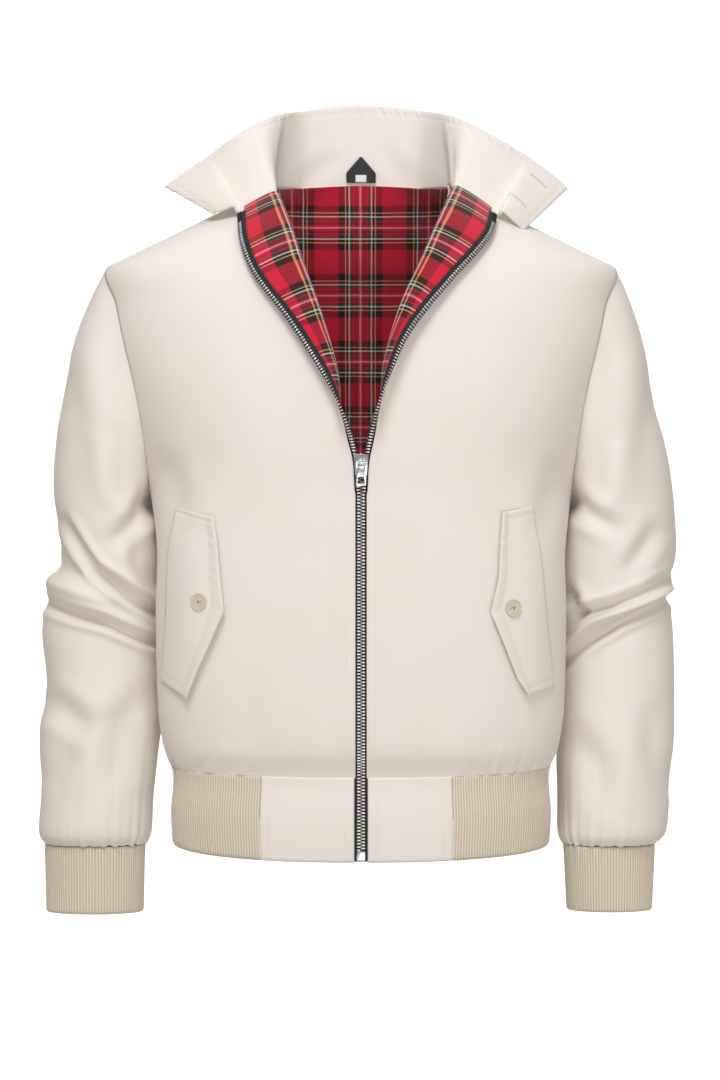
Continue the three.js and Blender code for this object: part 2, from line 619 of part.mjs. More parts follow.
for (const side of ['right', 'left']) {
  const sense = side === 'right' ? 1 : -1;
  const form = (s, angle) => sleevePoint(side, s, angle);
  const limits = { rows: [0, 13], ...turnLimits };
  const normal = (s, angle) => {
    const own = normalAt(form, s, angle, limits, -sense);
    if (s > 0.1) return own;
    const share = (1 - Math.cos(angle)) / 2;
    return own.multiplyScalar(1 - share).addScaledVector(bodyNormal(side, angle), share).normalize();
  };
  const start = 0.02;
  add(`sleeve_${side}`, formWall({
    form,
    rows: [start, ...steps(13, 0, 13).slice(1, -1), 12.97],
    columnsAt: () => sleeveColumns,
    limits,
    sense: -sense,
    top: 0,
    bottom: -SHELL,
    wrap: true,
    normal,
  }), shellCloth);
  add(`cuff_${side}`, formWall({
    form: (t, angle) => cuffPoint(side, t, angle),
    rows: steps(2),
    columnsAt: () => cuffColumns,
    limits: { rows: [0, 1], ...turnLimits },
    sense: -sense,
    top: 0,
    bottom: -BAND,
    wrap: true,
  }), ribKnit);
}

// ---- Waistband: a tab at each side of the zip and one rib round the rest ----
function bandPoint(v, around) {
  const theta = Math.abs(around);
  const point = ring(rowZ(v, theta), theta);
  point.x *= Math.sign(around) || 1;
  return point;
}

const bandRows = [-1, -0.5, -BAND_ROW];
const bandLimits = { rows: [-1, 0], columns: [-4, 7] };
const tabTheta = (x) => thetaAt(x, (HEM.front + BOTTOM.front) / 2);
const bandWall = (columns, sense) => formWall({
  form: bandPoint,
  rows: bandRows,
  columnsAt: () => columns,
  limits: bandLimits,
  sense,
  top: 0.6,
  bottom: 0.6 - BAND,
});
for (const side of ['right', 'left']) {
  const sign = signOf(side);
  const ends = [tabTheta(ZIP.band), tabTheta(TAB_HALF[side])].map((theta) => sign * theta).sort((a, b) => a - b);
  add(`waistband_tab_${side}`, bandWall(steps(4, ends[0], ends[1]), -1), shellCloth);
}
const RIB_GAP = 0.002; // radians between a tab and the rib
const ribForm = (v, around) => {
  const point = bandPoint(v, around <= Math.PI ? around : 2 * Math.PI - around);
  if (around > Math.PI) point.x = -point.x;
  return point;
};
add('waistband_rib', formWall({
  form: ribForm,
  rows: bandRows,
  columnsAt: () => steps(24, tabTheta(TAB_HALF.left) + RIB_GAP, 2 * Math.PI - tabTheta(TAB_HALF.right) - RIB_GAP),
  limits: bandLimits,
  sense: -1,
  top: 0.6,
  bottom: 0.6 - BAND,
}), ribKnit);

// ---- Collar: one band from end to end, standing on the neck seam and turned out in front ----
const COLLAR_RISE = 2.1; // clear of the seam below

function collarColumns(side) {
  const sign = signOf(side);
  const over = COLLAR_TOP[side].map((row) => {
    const foot = row.back === undefined ? frontPoint(side, TOP_ROW, row.front) : null;
    const neck = foot ? null : backNeck(row.back);
    const low = foot ?? onBack(neck.x, neck.z).multiply(new THREE.Vector3(sign, 1, 1));
    low.z += COLLAR_RISE;
    return { low, high: new THREE.Vector3(sign * row.x, row.y, row.z) };
  });
  const end = COLLAR_END[side].map((row) => ({
    low: new THREE.Vector3(sign * row.x, row.y, row.z),
    high: new THREE.Vector3(sign * row.topX, row.topY, row.topZ),
  }));
  return [...over, ...end];
}

const collarRight = collarColumns('right').reverse();
const collarLine = [...collarRight, ...collarColumns('left').slice(1)].map((column, index) => ({
  index,
  lowX: column.low.x,
  lowY: column.low.y,
  lowZ: column.low.z,
  highX: column.high.x,
  highY: column.high.y,
  highZ: column.high.z,
}));
const COLLAR_CENTRE = collarRight.length - 1;
const COLLAR_LAST = collarLine.length - 1;

function collarPoint(t, place) {
  const i = Math.min(Math.floor(place), COLLAR_LAST - 1);
  const share = place - i;
  const at = (key) => mix(collarLine[i][key], collarLine[i + 1][key], share);
  return new THREE.Vector3(mix(at('lowX'), at('highX'), t), mix(at('lowY'), at('highY'), t), mix(at('lowZ'), at('highZ'), t));
}

const collarLimits = { rows: [0, 1], columns: [0, COLLAR_LAST] };
const collarNormal = (t, place) => {
  const span = 0.5;
  const before = collarPoint(t, Math.max(place - span, 0));
  const after = collarPoint(t, Math.min(place + span, COLLAR_LAST));
  const up = collarPoint(1, place).sub(collarPoint(0, place));
  const normal = after.sub(before).cross(up).normalize().negate();
  if (t < 0.001) normal.z = 0;
  return normal.normalize();
};
add('collar', formWall({
  form: collarPoint,
  rows: steps(2),
  columnsAt: () => steps(COLLAR_LAST, 0, COLLAR_LAST),
  limits: collarLimits,
  sense: -1,
  top: 0,
  bottom: -COLLAR,
  normal: collarNormal,
}), shellCloth);

// ---- Two small buttons on the outside of the collar's right end ----
const BUTTON = { radius: 8.9, thick: 2.6, bevel: 0.6, hole: 0.7, spread: 1.8, small: 6 };
function buttonGeometry(radius) {
  const face = new THREE.Shape().absarc(0, 0, radius - BUTTON.bevel, 0, 2 * Math.PI);
  for (const y of [-BUTTON.spread, BUTTON.spread]) {
    face.holes.push(new THREE.Path().absarc(0, y, BUTTON.hole + BUTTON.bevel, 0, 2 * Math.PI, true));
  }
  return new THREE.ExtrudeGeometry(face, {
    depth: BUTTON.thick - 2 * BUTTON.bevel,
    bevelThickness: BUTTON.bevel,
    bevelSize: BUTTON.bevel,
    bevelSegments: 1,
    curveSegments: 8,
  });
}

const COLLAR_BUTTONS = { upper: { row: 0.78, place: 1.5 }, lower: { row: 0.48, place: 1.55 } };
const BUTTON_STAND = 0.9; // thread between a collar button and the twisted cloth
for (const [name, { row, place }] of Object.entries(COLLAR_BUTTONS)) {
  const away = collarNormal(row, place);
  const seat = collarPoint(row, place).addScaledVector(away, BUTTON.bevel + BUTTON_STAND);
  const button = add(`collar_button_${name}`, buttonGeometry(BUTTON.small), buttonResin);
  button.position.copy(seat);
  button.lookAt(seat.clone().add(away));
}

// ---- Neck label: a bare black triangle over a strip, and a small white patch on it ----
const LABEL = { half: 0.5, strip: 0.13, apex: 0.33, thick: 0.7, patch: 0.19, patchTop: 0.1 };
const labelTop = -COLLAR - GAP;
function labelWall(halves, rows, top, thick) {
  return formWall({
    form: (t, across) => collarPoint(t, COLLAR_CENTRE + across * halves(t)),
    rows,
    columnsAt: () => steps(4, -1, 1),
    limits: { rows: [0, 1], columns: [-1, 1] },
    sense: -1,
    top,
    bottom: top - thick,
    normal: (t, across) => collarNormal(t, COLLAR_CENTRE + across * halves(t)),
  });
}
const labelHalf = (t) => (t <= LABEL.strip ? LABEL.half : LABEL.half * mix(1, 0.06, (t - LABEL.strip) / (LABEL.apex - LABEL.strip)));
add('neck_label', labelWall(labelHalf, [0.005, LABEL.strip, LABEL.apex], labelTop, LABEL.thick), tapeBlack);
add('size_patch', labelWall(() => LABEL.patch, [0.01, LABEL.patchTop], labelTop - LABEL.thick - GAP, 0.4), whiteSatin);

// ---- Pocket flaps, made from the front's own points and moved out ----
const FLAP_CLEAR = 0.7;
function flapPlace(side, row, across) {
  const table = FLAPS[side].rows;
  const i = Math.min(Math.floor(row), table.length - 2);
  const share = row - i;
  const at = (key) => mix(table[i][key], table[i + 1][key], share);
  return { x: mix(at('sewnX'), at('freeX'), across), z: mix(at('sewnZ'), at('freeZ'), across) };
}

function frontNormal(x, z) {
  const theta = thetaAt(x, z);
  const round = ring(z, theta + 0.01).sub(ring(z, theta - 0.01));
  const up = ring(z + 1, theta).sub(ring(z - 1, theta));
  return round.cross(up).normalize();
}

function flapPoint(side, row, across) {
  const { x, z } = flapPlace(side, row, across);
  const point = ring(z, thetaAt(x, z)).addScaledVector(frontNormal(x, z), FLAP_CLEAR + FLAP_LIFT * across);
  point.x *= signOf(side);
  return point;
}

for (const side of ['right', 'left']) {
  const sign = signOf(side);
  add(`flap_${side}`, formWall({
    form: (row, across) => flapPoint(side, row, across),
    rows: steps(6, 0, 6),
    columnsAt: () => steps(5),
    limits: { rows: [0, 6], columns: [0, 1] },
    sense: sign,
    top: FLAP,
    bottom: 0,
  }), shellCloth);
  const { x, z } = FLAPS[side].button;
  const row = side === 'right' ? 2.9 : 2.95;
  const [sewn, free] = [flapPlace(side, row, 0), flapPlace(side, row, 1)];
  const across = (sewn.x - x) / (sewn.x - free.x);
  const away = frontNormal(x, z);
  const seat = ring(z, thetaAt(x, z)).addScaledVector(away, FLAP_CLEAR + FLAP_LIFT * across + FLAP + BUTTON.bevel + GAP);
  const button = add(`flap_button_${side}`, buttonGeometry(BUTTON.radius), buttonResin);
  button.position.set(sign * seat.x, seat.y, seat.z);
  button.lookAt(sign * (seat.x + away.x), seat.y + away.y, seat.z + away.z);
}

// ---- Zip slider, pull tab and bottom box ----
function solid(geometry) {
  const bare = geometry.clone();
  bare.deleteAttribute('normal');
  bare.deleteAttribute('uv');
  const merged = mergeVertices(bare, 1e-4);
  return new wasm.Manifold(new wasm.Mesh({
    numProp: 3,
    vertProperties: new Float32Array(merged.attributes.position.array),
    triVerts: new Uint32Array(merged.index.array),
  }));
}

function fuse(...geometries) {
  const joined = geometries.map(solid).reduce((whole, piece) => whole.add(piece));
  const mesh = joined.getMesh();
  const geometry = new THREE.BufferGeometry();
  geometry.setAttribute('position', new THREE.Float32BufferAttribute(mesh.vertProperties, 3));
  geometry.setIndex(Array.from(mesh.triVerts));
  return geometry;
}

const SLIDER = { top: -263.5, height: 21, topHalf: 7.4, lowHalf: 5.6, plate: 1.6, clear: 0.9, post: 1.1, postHeight: 5 };
const faceY = onFront(0, SLIDER.top).y; // face of the cloth at the slider
const plateShape = new THREE.Shape([
  new THREE.Vector2(-SLIDER.topHalf, 0),
  new THREE.Vector2(-SLIDER.lowHalf, -SLIDER.height),
  new THREE.Vector2(SLIDER.lowHalf, -SLIDER.height),
  new THREE.Vector2(SLIDER.topHalf, 0),
]);
const plate = (y) => {
  const geometry = new THREE.ExtrudeGeometry(plateShape, { depth: SLIDER.plate, bevelEnabled: false });
  return geometry.rotateX(Math.PI / 2).translate(0, y + SLIDER.plate, SLIDER.top);
};
const frontPlateY = faceY - SLIDER.clear - SLIDER.plate;
const backPlateY = faceY - CHAIN.bottom + SLIDER.clear;
const post = new THREE.BoxGeometry(2 * SLIDER.post, backPlateY - frontPlateY, SLIDER.postHeight)
  .translate(0, (backPlateY + frontPlateY + SLIDER.plate) / 2, SLIDER.top - SLIDER.postHeight / 2 + 1);
const BAIL = { inner: 2.2, outer: 3.6, half: 1.9, drop: 8, stand: 1.7 };
const pivot = new THREE.Vector3(0, frontPlateY - BAIL.stand, SLIDER.top - BAIL.drop);
const bailShape = new THREE.Shape().absarc(0, 0, BAIL.outer, -Math.PI / 2, Math.PI / 2);
bailShape.lineTo(-BAIL.stand - 0.2, BAIL.outer).lineTo(-BAIL.stand - 0.2, BAIL.inner).lineTo(0, BAIL.inner);
bailShape.absarc(0, 0, BAIL.inner, Math.PI / 2, -Math.PI / 2, true);
bailShape.lineTo(-BAIL.stand - 0.2, -BAIL.inner).lineTo(-BAIL.stand - 0.2, -BAIL.outer);
const bail = new THREE.ExtrudeGeometry(bailShape, { depth: 2 * BAIL.half, bevelEnabled: false, curveSegments: 10 })
  .translate(0, 0, -BAIL.half)
  .rotateX(Math.PI / 2)
  .rotateZ(-Math.PI / 2);
bail.translate(pivot.x, pivot.y, pivot.z);
add('slider', fuse(plate(frontPlateY), plate(backPlateY), post, bail), zipMetal);

const PULL = { half: 4.9, length: 23, thick: 1.3, eyeHalf: 2.7, eyeEnd: 6.6, bar: 0.75, windowHalf: 3.2, windowTop: 14.2, windowEnd: 20.6 };
const corners = (half, top, low) => [
  new THREE.Vector2(-half, -top),
  new THREE.Vector2(-half, -low),
  new THREE.Vector2(half, -low),
  new THREE.Vector2(half, -top),
];
const pullShape = new THREE.Shape(corners(PULL.half, -PULL.bar, PULL.length));
pullShape.holes.push(new THREE.Path(corners(PULL.eyeHalf, PULL.bar, PULL.eyeEnd).reverse()));
pullShape.holes.push(new THREE.Path(corners(PULL.windowHalf, PULL.windowTop, PULL.windowEnd).reverse()));
const pull = new THREE.ExtrudeGeometry(pullShape, { depth: PULL.thick, bevelEnabled: false })
  .rotateX(Math.PI / 2)
  .translate(0, PULL.thick / 2, 0);
add('pull_tab', pull, zipMetal).position.copy(pivot);

const BOX = { half: 4.1, height: 9, front: 0.8, back: -4.6, top: -651.5 };
const boxY = onFront(0, BOX.top).y;
add('zip_box', new THREE.BoxGeometry(2 * BOX.half, BOX.front - BOX.back, BOX.height)
  .translate(0, boxY - (BOX.front + BOX.back) / 2, BOX.top - BOX.height / 2), zipMetal);

export default jacket;
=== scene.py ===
import math

import bpy
import numpy as np
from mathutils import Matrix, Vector


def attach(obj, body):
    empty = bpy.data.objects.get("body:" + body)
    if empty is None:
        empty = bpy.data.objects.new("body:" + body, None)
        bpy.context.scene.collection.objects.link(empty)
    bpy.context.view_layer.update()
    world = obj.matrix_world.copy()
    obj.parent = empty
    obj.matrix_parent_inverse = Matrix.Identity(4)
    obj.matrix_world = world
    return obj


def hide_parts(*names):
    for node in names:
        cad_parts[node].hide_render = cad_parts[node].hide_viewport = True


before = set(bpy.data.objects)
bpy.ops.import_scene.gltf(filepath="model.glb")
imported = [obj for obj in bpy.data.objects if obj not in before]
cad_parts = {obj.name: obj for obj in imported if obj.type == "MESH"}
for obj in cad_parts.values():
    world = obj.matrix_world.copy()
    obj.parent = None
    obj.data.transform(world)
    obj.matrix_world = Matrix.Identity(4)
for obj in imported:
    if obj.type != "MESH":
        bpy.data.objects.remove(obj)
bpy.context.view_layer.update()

# ---- Camera, lights and stage ----
# A level camera at chest height, soft daylight from the front, and a white room that the
# camera sees past the jacket. Nothing here is part of the jacket.
bpy.ops.object.camera_add(location=(-0.001, -3.2, -0.347), rotation=(math.pi / 2, 0, 0))
camera = bpy.context.object
camera.data.lens = 104.6
camera.data.dof.use_dof = False
bpy.context.scene.camera = camera
bpy.context.scene.view_settings.view_transform = "Standard"

ROOM_LIGHT = 0.44
room = bpy.data.worlds.new("room")
room.use_nodes = True
room.node_tree.nodes["Background"].inputs["Color"].default_value = (1, 0.9, 0.79, 1)
room.node_tree.nodes["Background"].inputs["Strength"].default_value = ROOM_LIGHT
bpy.context.scene.world = room

LAMPS = {
    "key": {"place": (-0.5, -2.2, 2.4), "size": 1.3, "watts": 67},
    "fill": {"place": (0.6, -2.9, -1.1), "size": 1.6, "watts": 48},
    "top": {"place": (0.1, 0.2, 2.3), "size": 1.6, "watts": 12},
    "back": {"place": (0.4, 2.8, 0.9), "size": 1.8, "watts": 26},
}
for name, lamp in LAMPS.items():
    aim = Vector((0, 0, -0.35)) - Vector(lamp["place"])
    turn = aim.to_track_quat("-Z", "Y").to_euler()
    bpy.ops.object.light_add(type="AREA", location=lamp["place"], rotation=turn)
    light = bpy.context.object
    light.name = "lamp_" + name
    light.data.size = lamp["size"]
    light.data.energy = lamp["watts"]
    light.data.color = (0.93, 0.965, 1)


def white_stage(piece, glow):
    """Gives a stage object a plain pale finish that stays white in the picture."""
    white = bpy.data.materials.new(piece.name)
    white.use_nodes = True
    shader = white.node_tree.nodes["Principled BSDF"]
    shader.inputs["Base Color"].default_value = (0.9, 0.9, 0.9, 1)
    shader.inputs["Roughness"].default_value = 1
    shader.inputs["Emission Color"].default_value = (1, 1, 1, 1)
    shader.inputs["Emission Strength"].default_value = glow
    piece.data.materials.append(white)


bpy.ops.mesh.primitive_circle_add(vertices=64, radius=6, fill_type="NGON", location=(0, 0, -1.35))
floor = bpy.context.object
floor.name = "stage_floor"
white_stage(floor, 1)
floor.visible_diffuse = False
bpy.ops.mesh.primitive_uv_sphere_add(segments=48, ring_count=24, radius=9)
walls = bpy.context.object
walls.name = "stage_walls"
bpy.ops.object.mode_set(mode="EDIT")
bpy.ops.mesh.flip_normals()
bpy.ops.object.mode_set(mode="OBJECT")
white_stage(walls, 1)
walls.visible_diffuse = False
walls.visible_glossy = False
walls.visible_transmission = False
walls.visible_shadow = False

# ---- Fronts: the outer cloth of the two front halves ----
# Off-white cotton twill with a light interlining, cut in one piece from side seam to zip.
# Each is sewn to the back, the sleeve, the collar and the waistband; its top corner rolls open.
MM = 0.001


def table(columns, *rows):
    """Rows of numbers, kept by the name of their column."""
    return {name: np.array(values, float) for name, values in zip(columns.split(), zip(*rows))}


TORSO = table(
    "z half widest front back",
    (-668, 187, -52, 78, 140),
    (-620, 190, -52, 82, 145),
    (-580, 188, -52, 80, 146),
    (-556, 197, -54, 88, 158),
    (-520, 203, -55, 92, 168),
    (-470, 206, -55, 95, 174),
    (-410, 207, -54, 96, 177),
    (-360, 206, -46, 103, 172),
    (-325, 209, -20, 129, 149),
    (-300, 214, 5, 153, 125),
    (-264, 223, 5, 153, 125),
    (-203, 241, 5, 149, 122),
    (-150, 256, 5, 139, 116),
    (-110, 260, 5, 129, 108),
    (-69, 258.5, 5, 112, 95),
    (-37, 192.6, 5, 96, 84),
    (-6, 128.8, 5, 79, 75),
    (25, 65, 5, 70, 69),
)
OPENING = {
    "right": table(
        "rollZ rollX edgeX edgeZ turn lift",
        (-300, 29, 0, -300, 0, 0),
        (-264, 29, 3.2, -264, 5, 0.4),
        (-230, 29.5, 17, -230, 70, 18),
        (-199, 27.5, 32, -200, 130, 18),
        (-173, 31.5, 44.5, -177, 155, 14),
        (-122, 46, 73, -132, 175, 9.5),
        (-71, 64, 106, -87, 180, 7),
        (-37, 75, 119.5, -53, 180, 6.5),
        (-6, 86, 122.5, -19.5, 180, 6.5),
    ),
    "left": table(
        "rollZ rollX edgeX edgeZ turn lift",
        (-300, 29, 0, -300, 0, 0),
        (-264, 29, 3.2, -264, 5, 0.4),
        (-220, 28.5, 17.5, -220, 78, 19),
        (-182, 28, 32, -183, 130, 18),
        (-147, 35.5, 46, -151, 160, 13),
        (-113, 46.5, 65, -123, 175, 9.5),
        (-78, 62.5, 90, -93, 180, 7),
        (-29, 83, 127.5, -48.5, 180, 6.5),
        (0, 95, 136, -20.5, 180, 6.5),
    ),
}

SHELL = 1.3  # thickness of the outer cloth, in millimetres as all sizes of the cloth forms
GAP = 0.3
FRONT_POWER = 2.3
BACK_POWER = 2.1
SIDE_Y = 5
ARMPIT_Z = -300
SHOULDER = (258.5, -69)
NECK = (88, 13.8)
BACK_NECK_RISE = 8.8
ARMHOLE_FRONT = 64
ARMHOLE_BACK = 60
NECK_COLUMN = 0.75
HEM_SIDE, HEM_FRONT = -572, -579
BOTTOM_BACK, BOTTOM_FRONT = -636, -663
BAND_START = 29
BEND = 12
EDGE = {"shell": 5.5, "lining": 6.8, "tape_out": 7.9}


def mix(a, b, t):
    return a + (b - a) * t


def fade(value, start, end):
    """0 before start and 1 after end, on a soft step between them."""
    t = np.clip((value - start) / (end - start), 0, 1)
    return t * t * (3 - 2 * t)


def points(x, y, z):
    return np.stack(np.broadcast_arrays(x, y, z), axis=-1).astype(float)


def read(rows, key, at, column):
    """A column of a table at a key's values, on a smooth curve through its rows."""
    keys = rows[key]
    values = rows[column]
    if keys[-1] < keys[0]:
        keys = keys[::-1]
        values = values[::-1]
    number = np.arange(len(keys))
    low = np.maximum(number - 1, 0)
    high = np.minimum(number + 1, len(keys) - 1)
    slopes = (values[high] - values[low]) / (keys[high] - keys[low])
    i = np.clip(np.searchsorted(keys, at, side="right") - 1, 0, len(keys) - 2)
    span = keys[i + 1] - keys[i]
    t = np.clip((at - keys[i]) / span, 0, 1)
    rise = t * t * (3 - 2 * t)
    bend = slopes[i] * t * (1 - t) ** 2 - slopes[i + 1] * t * t * (1 - t)
    return mix(values[i], values[i + 1], rise) + span * bend


def half_width(z):
    slope = (NECK[1] - SHOULDER[1]) / (SHOULDER[0] - NECK[0])
    return np.where(z > SHOULDER[1], NECK[0] + (NECK[1] - z) / slope, read(TORSO, "z", z, "half"))


def superside(share, power):
    return (1 - np.minimum(np.abs(share), 1) ** power) ** (1 / power)


def ring(z, theta):
    """The torso's point at height z, theta radians round from the centre front."""
    c = np.cos(theta)
    power = np.where(c > 0, FRONT_POWER, BACK_POWER)
    depth = np.where(c > 0, -read(TORSO, "z", z, "front"), read(TORSO, "z", z, "back"))
    x = half_width(z) * np.abs(np.sin(theta)) ** (2 / power)
    return points(x, read(TORSO, "z", z, "widest") + depth * np.abs(c) ** (2 / power), z)


def theta_at(x, z):
    return np.arcsin(np.minimum(np.abs(x) / half_width(z), 1) ** (FRONT_POWER / 2))


def on_front(x, z):
    drop = read(TORSO, "z", z, "front") * superside(x / half_width(z), FRONT_POWER)
    return points(x, read(TORSO, "z", z, "widest") - drop, z)


def on_back(x, z):
    drop = read(TORSO, "z", z, "back") * superside(x / half_width(z), BACK_POWER)
    return points(x, read(TORSO, "z", z, "widest") + drop, z)


def side_seam_theta(z):
    share = (SIDE_Y - read(TORSO, "z", z, "widest")) / read(TORSO, "z", z, "back")
    return np.arccos(-(np.maximum(share, 0) ** (BACK_POWER / 2)))


def row_z(v, theta):
    """Height of row v: -1 is the lower edge, 0 the waistband seam and 1 the armpit."""
    front = (1 + np.cos(theta)) / 2
    hem = mix(2 * HEM_SIDE - HEM_FRONT, HEM_FRONT, front)
    return np.where(v < 0, mix(hem, mix(BOTTOM_BACK, BOTTOM_FRONT, front), -v), mix(hem, ARMPIT_Z, v))


def armhole(angle):
    """The armhole's seam: 0 at the armpit, half a turn at the shoulder, the front half first."""
    z = (SHOULDER[1] + ARMPIT_Z) / 2 - (SHOULDER[1] - ARMPIT_Z) / 2 * np.cos(angle)
    s = np.sin(angle)
    y = SIDE_Y - s * np.where(s > 0, ARMHOLE_FRONT, ARMHOLE_BACK)
    depth = np.where(s > 0, read(TORSO, "z", z, "front"), read(TORSO, "z", z, "back"))
    power = np.where(s > 0, FRONT_POWER, BACK_POWER)
    return points(half_width(z) * superside((y - SIDE_Y) / depth, power), y, z)


def patch(u, w, bottom, top, side, inner):
    """A point inside four seams, blended from theirs. Only its x and z are used."""
    across = u[..., None]
    up = w[..., None]
    zero = np.zeros_like(u)
    level = mix(bottom(u), top(u), up)
    outer_fix = side(w) - mix(bottom(zero), top(zero), up)
    inner_fix = inner(w) - mix(bottom(zero + 1), top(zero + 1), up)
    return level + (1 - across) * outer_fix + across * inner_fix


def roll_at(side, w):
    rows = OPENING[side]
    z = mix(rows["rollZ"][0], rows["rollZ"][-1], w)
    return {name: read(rows, "rollZ", z, name) for name in rows}


def shoulder_line(u):
    t = np.clip(u / NECK_COLUMN, 0, 1)
    return points(mix(SHOULDER[0], NECK[0], t), 0, mix(SHOULDER[1], NECK[1], t))


def front_top(side, u):
    end = roll_at(side, np.ones_like(u))
    t = ((u - NECK_COLUMN) / (1 - NECK_COLUMN))[..., None]
    neck = mix(np.array([NECK[0], 0, NECK[1]]), points(end["rollX"], 0, end["rollZ"]), t)
    return np.where(u[..., None] < NECK_COLUMN, shoulder_line(u), neck)


def closed_point(v, u):
    guess = row_z(v, math.pi / 2)
    x = np.where(u < 2, mix(BAND_START, BAND_START - BEND, u - 1), mix(BAND_START - BEND, 0, u - 2))
    side = mix(side_seam_theta(guess), theta_at(BAND_START, guess), u)
    front = on_front(x, row_z(v, theta_at(x, guess)))
    return np.where(u[..., None] < 1, ring(row_z(v, side), side), front)


def chest_point(side, w, u):
    inner = theta_at(BAND_START, ARMPIT_Z)

    def roll(t):
        row = roll_at(side, t)
        return points(row["rollX"], 0, row["rollZ"])

    def bottom(t):
        return ring(ARMPIT_Z, mix(math.pi / 2, inner, t))

    place = patch(u, w, bottom, lambda t: front_top(side, t), lambda t: armhole(math.pi * t), roll)
    return on_front(place[..., 0], place[..., 2])


def unit(vector):
    return vector / np.linalg.norm(vector, axis=-1, keepdims=True)


def fold_point(side, w, u):
    """The rolled part of the front: a bend of its own radius, then the free edge's band."""
    def at(t):
        row = roll_at(side, np.clip(t, 0, 1))
        return on_front(row["rollX"], row["rollZ"])

    row = roll_at(side, w)
    point = at(w)
    along = unit(at(w + 0.02) - at(w - 0.02))
    right = on_front(point[..., 0] + 1, point[..., 2]) - on_front(point[..., 0] - 1, point[..., 2])
    up = on_front(point[..., 0], point[..., 2] + 1) - on_front(point[..., 0], point[..., 2] - 1)
    out = unit(np.cross(right, up))
    inward = unit(np.cross(out, along))
    inward = np.where(inward[..., :1] > 0, -inward, inward)
    turn = np.maximum(np.radians(row["turn"]), 0.01)

    def bend_at(angle):
        radius = BEND / turn
        sideways = inward * (radius * np.sin(angle))[..., None]
        return point + sideways + out * (radius * (1 - np.cos(angle)))[..., None]

    start = bend_at(turn)
    end = on_front(row["edgeX"], row["edgeZ"])
    end[..., 1] -= row["lift"]
    reach = 0.4 * np.linalg.norm(end - start, axis=-1)
    pull = start + inward * (reach * np.cos(turn))[..., None] + out * (reach * np.sin(turn))[..., None]
    t = np.clip(u - 2, 0, 1.5)[..., None]
    band = start * (1 - t) ** 2 + pull * (2 * t * (1 - t)) + end * t * t
    return np.where(u[..., None] < 2, bend_at(turn * (u - 1)), band)


def front_point(side, v, u):
    """A front's form: v runs up from the lower edge, u from the side seam at 0 to the zip at 3."""
    v, u = np.broadcast_arrays(np.asarray(v, float), np.asarray(u, float))
    w = np.maximum(v - 1, 0)
    chest_part = chest_point(side, w, np.minimum(u, 1))
    open_part = np.where(u[..., None] <= 1, chest_part, fold_point(side, w, np.maximum(u, 1)))
    point = np.where(v[..., None] <= 1, closed_point(np.minimum(v, 1), u), open_part)
    seam = (v > 1) & (u <= 1)
    point[..., 1] = np.where(seam, np.minimum(point[..., 1], SIDE_Y - GAP / 2), point[..., 1])
    if side == "right":
        point[..., 0] *= -1
    return point


def column_at(side, v, distance):
    """The column that lies a given distance from the zip's line."""
    reach = np.linalg.norm(front_point(side, v, 2) - front_point(side, v, 3), axis=-1)
    return 3 - distance / reach


class Face:
    """The finished face of a cloth, to sew onto by shares up it and across it."""

    def __init__(self, place, up, across, sense):
        order = np.lexsort((np.round(across, 5), np.round(up, 5)))
        rows = len(np.unique(np.round(up, 5)))
        self.place = place[order].reshape(rows, -1, 3)
        away = np.cross(np.gradient(self.place, axis=1), np.gradient(self.place, axis=0))
        self.normal = unit(away) * sense

    def spot(self, up, across, depth=0.0):
        """Places on the face, and the way out of it, moved in by a depth."""
        rows, columns = self.place.shape[:2]
        r = np.clip(up, 0, 1) * (rows - 1)
        c = np.clip(across, 0, 1) * (columns - 1)
        r0 = np.minimum(r.astype(int), rows - 2)
        c0 = np.minimum(c.astype(int), columns - 2)
        a = (r - r0)[..., None]
        b = (c - c0)[..., None]

        def between(values):
            low = mix(values[r0, c0], values[r0, c0 + 1], b)
            return mix(low, mix(values[r0 + 1, c0], values[r0 + 1, c0 + 1], b), a)

        normal = unit(between(self.normal))
        return between(self.place) - normal * depth, normal


def hang(piece, form, uv, thickness, centre, folds=None, closed=False):
    """Moves a flat grid onto a form, lays its folds in and gives the cloth its thickness."""
    mesh = piece.data
    flat = np.empty(3 * len(mesh.vertices))
    mesh.vertices.foreach_get("co", flat)
    flat = flat.reshape(-1, 3)
    across = flat[:, 0] + 0.5
    up = flat[:, 1] + 0.5
    place = form(up, across)
    corner = np.empty(len(mesh.loops), int)
    mesh.loops.foreach_get("vertex_index", corner)
    mesh.uv_layers[0].data.foreach_set("uv", (uv(place, up, across) * MM)[corner].ravel())
    mesh.vertices.foreach_set("co", (place * MM).ravel())
    mesh.update()
    normal = np.empty(3 * len(mesh.vertices))
    mesh.vertex_normals.foreach_get("vector", normal)
    normal = normal.reshape(-1, 3)
    inside_out = np.mean(np.sum(normal * (place - centre(place)), axis=1)) < 0
    if inside_out:
        normal = -normal
    if folds:
        place = place + normal * folds(place, up, across)[:, None]
        mesh.vertices.foreach_set("co", (place * MM).ravel())
    bpy.ops.object.select_all(action="DESELECT")
    bpy.context.view_layer.objects.active = piece
    piece.select_set(True)
    bpy.ops.object.mode_set(mode="EDIT")
    bpy.ops.mesh.select_all(action="SELECT")
    if closed:
        bpy.ops.mesh.remove_doubles(threshold=0.00003)
    if inside_out:
        bpy.ops.mesh.flip_normals()
    bpy.ops.object.mode_set(mode="OBJECT")
    bpy.ops.object.shade_smooth()
    thicken = piece.modifiers.new("thickness", "SOLIDIFY")
    thicken.thickness = thickness * MM
    thicken.offset = -1
    bpy.ops.object.modifier_apply(modifier=thicken.name)
    face = Face(place, up, across, 1)
    middle = centre(face.place.reshape(-1, 3)).reshape(face.place.shape)
    if np.mean(np.sum(face.normal * (face.place - middle), axis=2)) < 0:
        face.normal *= -1
    return face


